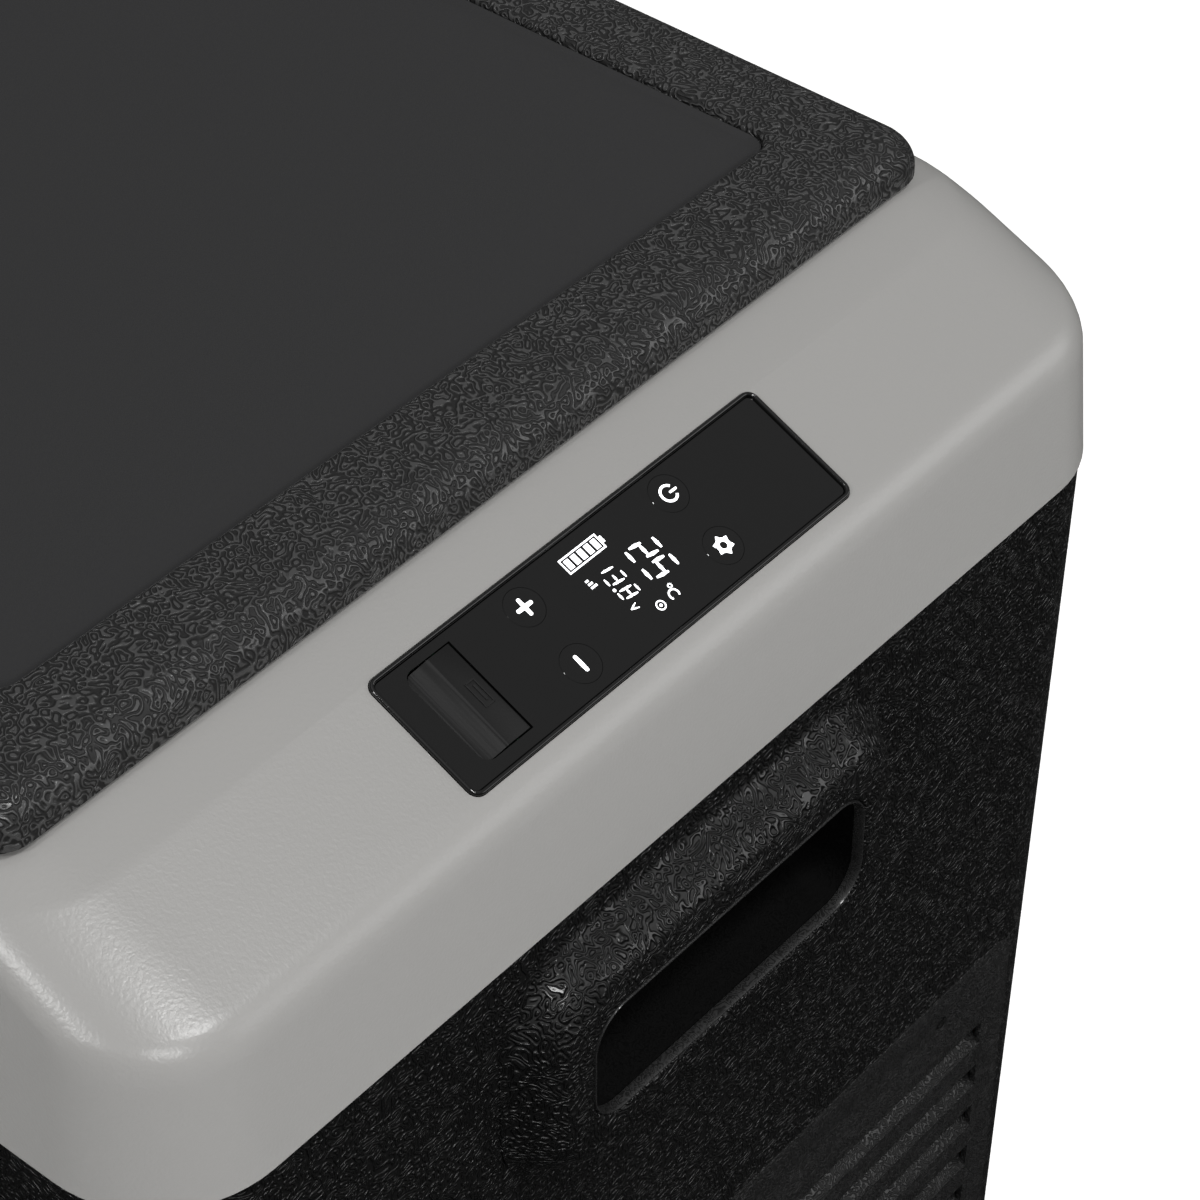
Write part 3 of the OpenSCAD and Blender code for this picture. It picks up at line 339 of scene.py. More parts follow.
body = to_object("body", loft([
    body_level(base_z, 3.0), body_level(base_z, 1.2), body_level(base_z + 0.35, 0.35),
    body_level(base_z + 1.2, 0.0), body_level(join_z - 0.3, 0.0), body_level(join_z, 0.3),
    body_level(join_z, WALL), body_level(base_z + 6, WALL), body_level(base_z + 6, 15.0),
    body_level(base_z + 3, 15.0), body_level(base_z + 3, WALL), body_level(base_z, WALL)], closed=True))

grip_low, grip_high = size("grip_cup_right")
GRIP_Y = 49.5
GRIP_Z = 17.0
grip_mid = (grip_low.z + grip_high.z) / 2
grille_low, grille_high = size("end_grille")
vent_low, vent_high = size("side_grille_front")
inlet_low, inlet_high = size("dc_inlet")
inlet = Vector(((inlet_low.x + inlet_high.x) / 2, 0, (inlet_low.z + inlet_high.z) / 2))
end_x = frame_high.x
cut(body,
    block(-end_x - PAST, end_x + PAST, -GRIP_Y - GRIP_MARGIN, GRIP_Y + GRIP_MARGIN,
          grip_mid - GRIP_Z - GRIP_MARGIN, grip_mid + GRIP_Z + GRIP_MARGIN),
    block(end_x - PAST, end_x + PAST, grille_low.y + 8, grille_high.y - 8,
          grille_low.z + 10, grille_high.z - 24),
    block(vent_low.x + 6, vent_high.x - 6, frame_low.y - PAST, frame_high.y + PAST,
          vent_low.z + 6, vent_high.z - 6),
    slab(inlet.x - INLET_R, inlet.x + INLET_R, inlet.z - INLET_R, inlet.z + INLET_R, 150, 180,
         INLET_R - 0.01, TO_SIDE))
finish(body, body_plastic, "casing", ["body_shell"])

# Grip surrounds: raised pads moulded around each hand hole, blended into the end walls, with a
# rounded lip that turns in to the pocket. The pockets are separate smooth black mouldings.
PAD_Y = 60.0
PAD_LOW = 27.5
PAD_HIGH = 28.0
PAD_OUT = 10.0
PAD_SPREAD = 10.5
CUP_DEPTH = 41.0
face_x = end_x + PAD_OUT


def pad_level(grow, x):
    return (-PAD_Y - grow, PAD_Y + grow, grip_mid - PAD_LOW - grow, grip_mid + PAD_HIGH + grow, 16 + grow, x)


def hole_level(grow, x, r=10.0):
    return (-GRIP_Y - grow, GRIP_Y + grow, grip_mid - GRIP_Z - grow, grip_mid + GRIP_Z + grow, r + grow, x)


def on_end(mesh, side):
    """Turns a lofted mesh onto the right (+1) or left (-1) end."""
    bmesh.ops.transform(mesh, matrix=TO_END, verts=mesh.verts[:])
    if side < 0:
        bmesh.ops.scale(mesh, vec=(-1, 1, 1), verts=mesh.verts[:])
    bmesh.ops.recalc_face_normals(mesh, faces=mesh.faces[:])
    return mesh


# How far the pad spreads and stands out, from its foot in the wall to its brow
pad_curve = [(PAD_SPREAD * (1 - t / 10), PAD_OUT * (0.5 - 0.5 * math.cos(math.pi * t / 10)) - 1.0)
             for t in range(11)]
lip = [(1.2 * (1 - math.sin(a * math.pi / 12)), 1.2 * (1 - math.cos(a * math.pi / 12))) for a in range(7)]
# Hardly any shine, and a deeper black than the body's as painted shade, so that the hand hold reads as a dark
# hollow
cup_plastic = grained("black abs, smooth satin", "030303", "020202", 0.5, 1.2, 0.01)
cup_plastic.node_tree.nodes["Principled BSDF"].inputs["Specular IOR Level"].default_value = 0.15
# A thin bright line round the hand hold: a smooth edge without grain, painted lighter than the body as a
# highlight
rim_plastic = grained("black abs, smooth edge, painted highlight", "1a1a1a", "181818", 0.24, 1.2, 0.005)
for side, word in ((1, "right"), (-1, "left")):
    outer = [pad_level(g, end_x + h + 1.0 * (h > 8.99)) for g, h in pad_curve]
    outer += [hole_level(grow + 0.9, face_x - drop) for grow, drop in lip]
    outer += [hole_level(0.9, face_x - 3), pad_level(-3.0, face_x - 3),
              pad_level(PAD_SPREAD, end_x - 2.2), pad_level(PAD_SPREAD, end_x - 1.0)]
    surround = to_object("grip_surround_" + word, on_end(loft(outer, 12, closed=True), side))
    finish(surround, body_plastic, "casing", ["grip_surround_" + word], angle=50)
    ring = [hole_level(grow, face_x - drop) for grow, drop in
            ((0.85, 3), (0.85, 0.5), (0.65, 0.1), (0.3, 0.1), (0.02, 0.6), (0.02, 3), (0.85, 3))]
    rim = to_object("grip_rim_" + word, on_end(loft(ring, 12, closed=True), side))
    finish(rim, rim_plastic, "casing", angle=50)
    inner = [hole_level(7.0, face_x - 3.2), hole_level(0.0, face_x - 3.2), hole_level(0.0, face_x - 4.2),
             hole_level(-1.2, face_x - 34, 9), hole_level(-2.6, face_x - 38.5, 8.4),
             hole_level(-7.0, face_x - CUP_DEPTH, 6)]
    shell = loft(inner, 8)
    floor_edges = [e for e in shell.edges if all(v.co.z < face_x - CUP_DEPTH + 0.5 for v in e.verts)]
    bmesh.ops.edgeloop_fill(shell, edges=floor_edges)
    cup = to_object("grip_pocket_" + word, on_end(shell, side))
    thick = cup.modifiers.new("wall", "SOLIDIFY")
    thick.thickness = 1.6 * MM
    thick.offset = -1
    bake(cup)
    finish(cup, cup_plastic, "casing", ["grip_cup_" + word], angle=50)

# End grille: a flush moulded panel over the compressor bay. Its seven slots have blades that slope
# down and out, and four small screws hold it to the body.
SLOT_Y = 132.0
SLOT_H = 9.0
SLOT_PITCH = 18.0
SLOT_COUNT = 7
BLADE_L = 11.5
BLADE_T = 2.0
BLADE_TILT = math.radians(38)
WELL_R = 2.6
panel_mid_z = (grille_low.z + grille_high.z) / 2
slot_top = grille_high.z - 38
wall_x = end_x - body_inset(panel_mid_z)
tilt = Matrix.Translation((wall_x, 0, panel_mid_z)) @ Matrix.Rotation(math.radians(0.5), 4, "Y") \
    @ Matrix.Translation((0, 0, -panel_mid_z))
plate = slab(grille_low.y, grille_high.y, grille_low.z, grille_high.z, -1.5, 0.4, 8, TO_END)
grille = to_object("end_grille_panel", plate)
slots = []
for k in range(SLOT_COUNT):
    z = slot_top - k * SLOT_PITCH
    slots.append(block(-PAST, PAST, -SLOT_Y, SLOT_Y, z, z + SLOT_H))
screw_low, screw_high = size("grille_screws")
SCREW_HEAD = 3.4
screws = [(y, z) for y in (screw_low.y + SCREW_HEAD, screw_high.y - SCREW_HEAD)
          for z in (screw_low.z + SCREW_HEAD, screw_high.z - SCREW_HEAD)]
wells = []
for y, z in screws:
    wells.append(slab(y - WELL_R, y + WELL_R, z - WELL_R, z + WELL_R, -4.0, 5, WELL_R - 0.01, TO_END))
cut(grille, *slots, *wells)
blades = bmesh.new()
for k in range(SLOT_COUNT):
    z = slot_top - k * SLOT_PITCH
    blade = block(-BLADE_L, 0.0, -SLOT_Y - 1, SLOT_Y + 1, -BLADE_T, 0.0)
    slope = Matrix.Translation((0.4, 0, z)) @ Matrix.Rotation(BLADE_TILT, 4, "Y")
    bmesh.ops.transform(blade, matrix=slope, verts=blade.verts[:])
    part = bpy.data.meshes.new("blade")
    blade.to_mesh(part)
    blade.free()
    blades.from_mesh(part)
bmesh.ops.bevel(blades, geom=blades.edges[:], offset=0.5, affect="EDGES", segments=2,
                profile=0.5, material=-1)
rounded_edges(grille, 0.6)
bmesh.ops.transform(blades, matrix=tilt, verts=blades.verts[:])
grille.data.transform(Matrix.Scale(MM, 4) @ tilt @ Matrix.Scale(1 / MM, 4))
slats = to_object("end_grille_blades", blades)
# A finer and duller grain than the body's, in a lighter black, with painted shade darkening the grooves
grille_plastic = grained("black abs, fine etch", "1c1c1c", "040404", 0.34, 1.6, 0.3)
finish(grille, grille_plastic, "casing", ["end_grille"])
finish(slats, grille_plastic, "casing")

# Grille screws: black oxide pan-head screws, 4 mm across the head, sunk in wells in the panel.
# Dark steel with an oily, uneven shine
black_oxide, tree, shader = new_material("steel, black oxide")
surface(shader, "1b1b1c", 0.34, 0.8)
oil = noise(tree, 0.8, 3.0)
polish(tree, shader, oil, 0.26, 0.46)
heads = bmesh.new()
for y, z in screws:
    for x0, x1, r in ((-1.9, -1.1, 2.1), (-6.0, -1.6, 1.2)):
        seat = Matrix.Translation((x0 / 2 + x1 / 2, y, z)) @ Matrix.Rotation(math.pi / 2, 4, "Y")
        bmesh.ops.create_cone(heads, cap_ends=True, segments=32, radius1=r, radius2=r, depth=x1 - x0,
                              matrix=seat)
bmesh.ops.transform(heads, matrix=tilt, verts=heads.verts[:])
screw_heads = to_object("grille_screw_heads", heads)
crosses = []
for y, z in screws:
    for wide, high in ((1.4, 0.25), (0.25, 1.4)):
        cross = block(-1.5, 3, y - wide, y + wide, z - high, z + high)
        bmesh.ops.transform(cross, matrix=tilt, verts=cross.verts[:])
        crosses.append(cross)
cut(screw_heads, *crosses)
rounded_edges(screw_heads, 0.15)
finish(screw_heads, black_oxide, "casing", ["grille_screws"])

# Top frame: a grey satin ABS collar that caps the body. Its walls lean in, a broad shoulder rolls
# over to the lid's seam, and at the control end a sloped face carries the panel.
deck_z = frame_high.z - 4.5
WALL_LEAN = math.radians(5)
SLOPE = math.radians(24.2)
SIDE_R = 13.0
END_R = 12.0
RAMP_L = 16.5
RAMP_DROP = 4.9
SETBACK = 58.0
TUB_R = 18
FLANGE = 13.5
knee_in = SETBACK - RAMP_L
knee_z = frame_high.z - RAMP_DROP
side_arc_z = frame_high.z - SIDE_R
side_from_z = side_arc_z + SIDE_R * math.sin(WALL_LEAN)
side_arc_in = (side_from_z - join_z) * math.tan(WALL_LEAN) + SIDE_R * math.cos(WALL_LEAN)
meet_h = (knee_z - join_z - knee_in * math.tan(SLOPE)) / (1 - math.tan(WALL_LEAN) * math.tan(SLOPE))
tangent = END_R * math.tan((math.pi / 2 - WALL_LEAN - SLOPE) / 2)
end_low_z = join_z + meet_h - tangent * math.cos(WALL_LEAN)
end_arc_z = end_low_z - END_R * math.sin(WALL_LEAN)
end_arc_in = (end_low_z - join_z) * math.tan(WALL_LEAN) + END_R * math.cos(WALL_LEAN)
end_high_z = end_arc_z + END_R * math.cos(SLOPE)


def side_inset(z):
    if z < side_from_z:
        return (z - join_z) * math.tan(WALL_LEAN)
    return side_arc_in - math.sqrt(max(0.0, SIDE_R ** 2 - (z - side_arc_z) ** 2))


def end_inset(z):
    if z < end_low_z:
        return (z - join_z) * math.tan(WALL_LEAN)
    if z < end_high_z:
        return end_arc_in - math.sqrt(END_R ** 2 - (z - end_arc_z) ** 2)
    if z < knee_z:
        return knee_in - (knee_z - z) / math.tan(SLOPE)
    return SETBACK - (frame_high.z - z) * RAMP_L / RAMP_DROP


def frame_level(z, inward=0.0, drop=0.0):
    s = side_inset(z) + inward
    e = end_inset(z) + inward
    return (frame_low.x + s, frame_high.x - e, frame_low.y + s, frame_high.y - s, CORNER - s, z - drop)


def mouth_level(grow, z):
    return (tub_x0 - grow, tub_x1 + grow, -tub_y - grow, tub_y + grow, TUB_R + grow, z)


tub_low, tub_high = size("tub_liner")
tub_x0 = tub_low.x + FLANGE
tub_x1 = tub_high.x - FLANGE
tub_y = tub_high.y - FLANGE
heights = sorted(
    [join_z + 0.6, join_z + 20, end_low_z, knee_z]
    + [end_arc_z + END_R * math.sin(WALL_LEAN + (math.pi / 2 - WALL_LEAN - SLOPE) * k / 12)
       for k in range(1, 13)]
    + [side_arc_z + SIDE_R * math.sin(WALL_LEAN + (math.pi / 2 - WALL_LEAN) * k / 14) for k in range(15)])
rings = [frame_level(join_z, 3.0), frame_level(join_z, 0.6)] + [frame_level(z) for z in heights]
rings += [mouth_level(17.6, frame_high.z), mouth_level(17.4, frame_high.z - 0.2),
          mouth_level(17, frame_high.z - 0.6), mouth_level(17, deck_z + 0.4), mouth_level(16.6, deck_z),
          mouth_level(1.7, deck_z), mouth_level(1.7, deck_z - 3)]
rings += [frame_level(z, 3.0, max(0.0, 0.12 * (z - join_z - 34))) for z in reversed(heights)
          if join_z + 30 < z < side_arc_z + 2]
rings += [frame_level(join_z, 3.0)]
collar = to_object("collar", loft(rings, 14, closed=True))

bezel_low, bezel_high = size("control_bezel")
PANEL_W = 131.2
PANEL_H = 34.6
out = Vector((math.sin(SLOPE), 0, math.cos(SLOPE)))
panel_mid = (bezel_low + bezel_high) / 2 + 1.65 * out
ON_PANEL = Matrix.Translation(panel_mid) @ Matrix.Rotation(SLOPE, 4, "Y")
pin_low, pin_high = size("hinge_pins")
hinge_xs = (pin_low.x + 26, pin_high.x - 26)
lid_low, lid_high = size("lid_shell")
lid_mid = (lid_low.x + lid_high.x) / 2
floor_z = frame_high.z - 9.5
cut(collar,
    slab(-PANEL_H / 2 - 0.2, PANEL_H / 2 + 0.2, -PANEL_W / 2 - 0.2, PANEL_W / 2 + 0.2, -20, 9, 3, ON_PANEL),
    *[block(x - 37, x + 37, lid_high.y - 1, frame_high.y + PAST, floor_z, frame_high.z + PAST)
      for x in hinge_xs],
    block(lid_mid - 26, lid_mid + 26, frame_low.y - PAST, -tub_y - 14.5, floor_z, frame_high.z + PAST))
# An even mid grey that glows along the shoulder and is faintly stippled close to
frame_plastic, tree, shader = new_material("grey abs, fine satin etch")
surface(shader, "908f8d", 0.32)
etch = noise(tree, 0.9, 2.0)
relief(tree, shader, etch, 0.075)
finish(collar, frame_plastic, "casing", ["top_frame"], angle=30)

# Control face: a glossy bezel pressed into the slope, a polished cover plate with the display under
# it, four touch keys, and a rubber flap over the USB socket.
# A piano-black mirror with a slow ripple in what it reflects
gloss, tree, shader = new_material("polished black abs")
surface(shader, "0c0c0c", 0.07)
place = add(tree, "TexCoord").outputs["Object"]
wave = add(tree, "TexNoise", {"Vector": place, "Scale": 42.0, "Detail": 2.0})
relief(tree, shader, wave.outputs[0], 0.35)


def panel_level(grow, z, r):
    return (-PANEL_H / 2 - grow, PANEL_H / 2 + grow, -PANEL_W / 2 - grow, PANEL_W / 2 + grow, r, z)


bezel = loft([panel_level(0, -4.2, 2.8), panel_level(0, 0.4, 2.8), panel_level(-0.15, 0.75, 2.7),
              panel_level(-0.45, 0.9, 2.4), panel_level(-0.8, 0.85, 2.1), panel_level(-1.1, 0.5, 1.8),
              panel_level(-1.2, -0.2, 1.7), panel_level(-1.2, -1.6, 1.7), panel_level(-2.6, -1.6, 1.2),
              panel_level(-2.6, -4.2, 1.2), panel_level(0, -4.2, 2.8)], 8, closed=True)
bmesh.ops.transform(bezel, matrix=ON_PANEL, verts=bezel.verts[:])
finish(to_object("bezel", bezel), gloss, "casing", ["control_bezel"], angle=50)
KEYS = {"power_key": (-9.4, 27.7), "settings_key": (7.8, 28.2),
        "plus_key": (-9.2, -22.1), "minus_key": (8.4, -22.0)}
KEY_R = 5.0


def disc(p, q, z0, z1, r):
    """A round plate on the panel."""
    mesh = bmesh.new()
    bmesh.ops.create_cone(mesh, cap_ends=True, segments=48, radius1=r, radius2=r, depth=z1 - z0)
    bmesh.ops.translate(mesh, vec=(p, q, (z0 + z1) / 2), verts=mesh.verts[:])
    bmesh.ops.transform(mesh, matrix=ON_PANEL, verts=mesh.verts[:])
    return mesh


plate = loft([panel_level(-1.3, -1.4, 1.6), panel_level(-1.3, -0.1, 1.6), panel_level(-1.4, 0.0, 1.5)],
             8, cap=True)
bmesh.ops.transform(plate, matrix=ON_PANEL, verts=plate.verts[:])
cover = to_object("cover_plate", plate)
# The USB flap's lowest and highest place on the panel, and the gap round it
USB = (-13.2, 12.3, -57.0, -42.7)
USB_GAP = 0.4
usb_x0 = USB[0] - USB_GAP
usb_x1 = USB[1] + USB_GAP
usb_y1 = USB[3] + USB_GAP
cut(cover, *[disc(p, q, -5, 5, KEY_R + 0.06) for p, q in KEYS.values()],
    slab(usb_x0, usb_x1, USB[2] - USB_GAP, usb_y1, -5, 5, 2.9, ON_PANEL),
    slab(usb_x0, usb_x1, USB[3] - 4, usb_y1, -5, 5, 0.05, ON_PANEL, 1))
finish(cover, gloss, "casing", ["control_overlay"])
for node, (p, q) in KEYS.items():
    dome = bmesh.new()
    bmesh.ops.create_circle(dome, cap_ends=True, segments=64, radius=KEY_R)
    bmesh.ops.translate(dome, vec=(0, 0, -1.0), verts=dome.verts[:])
    ring = dome.edges[:]
    for r, z in ((KEY_R, -0.06), (4.94, 0.0), (4.4, 0.03), (3.4, 0.07), (2.0, 0.1), (0.8, 0.11)):
        grown = bmesh.ops.extrude_edge_only(dome, edges=ring)["geom"]
        ring = [g for g in grown if isinstance(g, bmesh.types.BMEdge) and all(v in grown for v in g.verts)]
        for v in (g for g in grown if isinstance(g, bmesh.types.BMVert)):
            v.co = Vector((v.co.x, v.co.y, 0)).normalized() * r
            v.co.z = z
    bmesh.ops.edgeloop_fill(dome, edges=ring)
    bmesh.ops.recalc_face_normals(dome, faces=dome.faces[:])
    bmesh.ops.translate(dome, vec=(p, q, 0), verts=dome.verts[:])
    bmesh.ops.transform(dome, matrix=ON_PANEL, verts=dome.verts[:])
    finish(to_object(node + "_cap", dome), gloss, node.replace("key", "button"), [node])

# Display: white LED digits and marks under the cover plate, and a printed white mark on each key that is
# given the same glow as painted light.
# A cool white glow, a little uneven from mark to mark
lit, tree, shader = new_material("white led light under acrylic")
surface(shader, "ffffff", 0.4, Emission_Strength=1.5)
haze = noise(tree, 0.6, 1.0)
tint(tree, shader, haze, "f2f6ff", "ffffff", "Emission Color")
# Which of a figure's seven bars are lit, and where each bar stands: across, up, whether upright
SEGMENTS = {"1": "bc", "2": "abged", "3": "abgcd", "5": "afgcd", "8": "abcdefg"}
BARS = {"a": (0, 1, 0), "b": (0.5, 0.5, 1), "c": (0.5, -0.5, 1), "d": (0, -1, 0), "e": (-0.5, -0.5, 1),
        "f": (-0.5, 0.5, 1), "g": (0, 0, 0)}


def place_mark(marks, part, x, y, turn=0.0, lift=0.01):
    """Gives a flat outline its thickness and adds it to the marks at x, y."""
    grown = bmesh.ops.extrude_face_region(part, geom=part.faces[:])["geom"]
    bmesh.ops.translate(part, vec=(0, 0, 0.05), verts=[g for g in grown if isinstance(g, bmesh.types.BMVert)])
    bmesh.ops.recalc_face_normals(part, faces=part.faces[:])
    bmesh.ops.rotate(part, matrix=Matrix.Rotation(turn, 3, "Z"), verts=part.verts[:])
    bmesh.ops.translate(part, vec=(x, y, lift), verts=part.verts[:])
    store = bpy.data.meshes.new("part")
    part.to_mesh(store)
    part.free()
    marks.from_mesh(store)


def bar(marks, x, y, length, width, turn=0.0, lift=0.01, ends=6):
    """A flat bar with pointed (6) or rounded (more) ends."""
    part = bmesh.new()
    bmesh.ops.create_circle(part, cap_ends=True, segments=ends, radius=width / 2)
    for v in part.verts:
        if abs(v.co.x) > 0.001 * width:
            v.co.x += math.copysign(length / 2 - width / 2, v.co.x)
    place_mark(marks, part, x, y, turn, lift)


def tile(marks, x, y, wide, high, lift=0.01):
    """A flat square-cornered mark."""
    part = bmesh.new()
    bmesh.ops.create_grid(part, x_segments=1, y_segments=1, size=0.5)
    bmesh.ops.scale(part, vec=(wide, high, 1), verts=part.verts[:])
    place_mark(marks, part, x, y, 0.0, lift)


def arc(marks, x, y, r0, r1, start=0.0, sweep=360.0, lift=0.01):
    """A flat ring, or a part of one."""
    part = bmesh.new()
    ends = [bmesh.ops.create_vert(part, co=(r, 0, 0))["vert"][0] for r in (r0, r1)]
    part.edges.new(ends)
    bmesh.ops.rotate(part, matrix=Matrix.Rotation(math.radians(start), 3, "Z"), verts=part.verts[:])
    bmesh.ops.spin(part, geom=part.verts[:] + part.edges[:], axis=(0, 0, 1), cent=(0, 0, 0),
                   angle=math.radians(sweep), steps=40, use_merge=sweep == 360.0)
    place_mark(marks, part, x, y, 0.0, lift)


def digit(marks, figure, x, y, height, wide, stroke, lean=0.13):
    """A leaning seven-bar figure."""
    for name in SEGMENTS[figure]:
        bx, by, upright = BARS[name]
        cy = y + by * height / 2 * (0.5 if upright else 1)
        cx = x + bx * wide + lean * (cy - y)
        bar(marks, cx, cy, (height / 2 if upright else wide) - stroke * 0.35, stroke,
            math.pi / 2 - lean if upright else 0)


marks = bmesh.new()
digit(marks, "2", -2.8, 11.6, 8.2, 3.6, 1.0)
digit(marks, "5", 2.6, 11.6, 8.2, 3.6, 1.0)
digit(marks, "1", -5.4, 0.6, 5.0, 2.2, 0.62)
digit(marks, "3", -1.7, 0.6, 5.0, 2.2, 0.62)
digit(marks, "8", 2.6, 0.6, 5.0, 2.2, 0.62)
arc(marks, 0.35, -1.9, 0.0001, 0.42)
# degrees and C, then V, as unit marks
arc(marks, 7.3, 9.7, 0.35, 0.65)
arc(marks, 9.4, 8.9, 1.05, 1.5, 50, 260)
bar(marks, 5.75, -1.3, 2.3, 0.4, math.radians(108))
bar(marks, 6.45, -1.3, 2.3, 0.4, math.radians(72))
# battery, with its cap up the panel and five bars
for x in (-12.5, -8.7):
    tile(marks, x, -1.1, 0.4, 12.0)
for y in (-7.1, 4.9):
    tile(marks, -10.6, y, 4.2, 0.4)
tile(marks, -10.6, 5.5, 1.8, 0.8)
for k in range(5):
    tile(marks, -10.6, -5.6 + 2.25 * k, 2.6, 1.5)
# three rising bars for the fan's level, and a ring with a dot for the compressor running
for k in range(3):
    tile(marks, -5.1 + 0.95 * k, -5.5 + 0.25 * k, 0.55, 0.9 + 0.5 * k)
arc(marks, 9.5, 4.2, 0.95, 1.3)
arc(marks, 9.5, 4.2, 0.0001, 0.4)
bmesh.ops.transform(marks, matrix=ON_PANEL, verts=marks.verts[:])
finish(to_object("display_marks", marks), lit, "casing", ["display_segments"])
# The keys' printed marks use the display's glowing material: their glow is painted light, not a lamp.
icons = {node: bmesh.new() for node in KEYS}
arc(icons["power_key"], 0, 0, 1.75, 2.4, 125, 290, lift=0.1)
bar(icons["power_key"], 0, 1.5, 2.5, 0.65, math.pi / 2, lift=0.1, ends=12)
arc(icons["settings_key"], 0, 0, 0.95, 2.0, lift=0.1)
for k in range(6):
    bar(icons["settings_key"], 2.1 * math.cos(k * math.pi / 3), 2.1 * math.sin(k * math.pi / 3), 1.3, 1.2,
        k * math.pi / 3, lift=0.1, ends=4)
bar(icons["plus_key"], 0, 0, 5.0, 1.1, lift=0.1, ends=12)
bar(icons["plus_key"], 0, 0, 5.0, 1.1, math.pi / 2, lift=0.1, ends=12)
bar(icons["minus_key"], 0, 0, 4.7, 1.1, lift=0.1, ends=12)
for node, (p, q) in KEYS.items():
    bmesh.ops.translate(icons[node], vec=(p, q, 0), verts=icons[node].verts[:])
    bmesh.ops.transform(icons[node], matrix=ON_PANEL, verts=icons[node].verts[:])
    finish(to_object(node + "_mark", icons[node]), lit, node.replace("key", "button"))

# USB flap: moulded silicone, folded along its inner edge, scooped down to its outer edge for a
# fingernail, with a raised socket mark on the flat band.
# Dead black and powdery, with hardly any shine; painted darker than the rubber's own black as shade for the
# scooped flap
rubber, tree, shader = new_material("black silicone rubber")
surface(shader, "060606", 0.6, Specular_IOR_Level=0.3)
powder = noise(tree, 0.5, 2.0)
relief(tree, shader, powder, 0.03)
FOLD_R = 0.8
fold_q = USB[3] - FOLD_R
flap = to_object("usb_flap_cover", slab(USB[0], USB[1], USB[2], USB[3] + 4, -1.3, 0.3, 2.5, ON_PANEL, 8))
scoop = bmesh.new()
bmesh.ops.create_cone(scoop, cap_ends=True, segments=360, radius1=22.3, radius2=22.3, depth=60)
bmesh.ops.rotate(scoop, matrix=Matrix.Rotation(math.pi / 2, 3, "Y"), verts=scoop.verts[:])
bmesh.ops.translate(scoop, vec=(0, USB[2], 21.3), verts=scoop.verts[:])
bmesh.ops.transform(scoop, matrix=ON_PANEL, verts=scoop.verts[:])
roll = bmesh.new()
bmesh.ops.create_cone(roll, cap_ends=True, segments=32, radius1=FOLD_R, radius2=FOLD_R, depth=USB[1] - USB[0])
bmesh.ops.rotate(roll, matrix=Matrix.Rotation(math.pi / 2, 3, "Y"), verts=roll.verts[:])
bmesh.ops.translate(roll, vec=((USB[0] + USB[1]) / 2, fold_q, 0.3 - FOLD_R), verts=roll.verts[:])
bmesh.ops.transform(roll, matrix=ON_PANEL, verts=roll.verts[:])
cut(flap, scoop, slab(USB[0] - 3, USB[1] + 3, fold_q, USB[3] + 9, -5, 5, 0.05, ON_PANEL, 1))
cut(flap, roll, how="UNION")
rounded_edges(flap, 0.25)
finish(flap, rubber, "usb_flap", ["usb_cover"])
socket_mark = bmesh.new()
SOCKET_BARS = ((0, 1.3, 7, 0.35), (0, -1.3, 7, 0.35), (-3.3, 0, 0.35, 2.6), (3.3, 0, 0.35, 2.6),
               (0, 0.3, 4.4, 0.7))
for x, y, wide, high in SOCKET_BARS:
    tile(socket_mark, x - 0.4, y - 46.2, wide, high, lift=0.075)
bmesh.ops.scale(socket_mark, vec=(1, 1, 4), verts=socket_mark.verts[:])
bmesh.ops.transform(socket_mark, matrix=ON_PANEL, verts=socket_mark.verts[:])
finish(to_object("usb_flap_mark", socket_mark), rubber, "usb_flap")

# Lid: a moulded shell with the body's grain on its rim and a smooth panel set into it.
# The body's grain on the lid, with lighter worm tops than the body's and the grooves painted near black as
# shade
lid_plastic = grained("black abs, leather grain, lid", "383838", "020202", 0.3, 2.0, 0.65)


def lid_level(inward, z, r=None):
    return (lid_low.x + inward, lid_high.x - inward, lid_low.y + inward, lid_high.y - inward,
            max(10 - inward * 0.5, 6) if r is None else r, z)


EDGE_R = 9.0
RIM = 28.0
LIP_R = 2.0
top_z = lid_high.z
profile = [lid_level(2.5, lid_low.z), lid_level(0.4, lid_low.z), lid_level(0, lid_low.z + 0.4)]
profile += [lid_level(EDGE_R * (1 - math.cos(a)), top_z - EDGE_R * (1 - math.sin(a)))
            for a in [math.pi / 2 * k / 10 for k in range(11)]]
profile += [lid_level(RIM - LIP_R + LIP_R * math.sin(a), top_z - LIP_R * (1 - math.cos(a)),
                      8 - LIP_R * math.sin(a))
            for a in [math.pi / 2 * k / 6 for k in range(7)]]
profile += [lid_level(RIM, top_z - 5.5, 6), lid_level(9, top_z - 5.5, 8), lid_level(9, lid_low.z + 2, 8),
            lid_level(2.5, lid_low.z + 2), lid_level(2.5, lid_low.z)]
lid = to_object("lid_cover", loft(profile, 10, closed=True))
cut(lid, *[block(x - 15.2, x + 15.2, lid_high.y - 8, lid_high.y + PAST, lid_low.z - 1, lid_low.z + 2.2)
           for x in hinge_xs])
finish(lid, lid_plastic, "lid", ["lid_shell"])
# A quiet dark grey satin with almost no texture
inlay_plastic = grained("black abs, satin", "202021", "1e1e1f", 0.36, 0.7, 0.004)
panel_edge = [lid_level(RIM + inward, top_z - drop, 6) for inward, drop in
              ((0.2, 4), (0.2, 1.9), (0.5, 1.7), (1.0, 1.9), (1.8, 2.3), (3.0, 2.5))]
inlay = to_object("lid_panel", loft(panel_edge, 8, cap=True))
finish(inlay, inlay_plastic, "lid", ["lid_inlay"])

# Lid liner and tub: vacuum-formed white-grey polystyrene with rounded floors, glossy where it lay
# on the mould. The tub has a deep part and a shelf over the compressor.
# A clean pale shine with a slight orange peel
liner_plastic, tree, shader = new_material("light grey polystyrene, vacuum-formed")
surface(shader, "d2d2d0", 0.28)
peel = noise(tree, 4.0, 1.0)
relief(tree, shader, peel, 0.04)


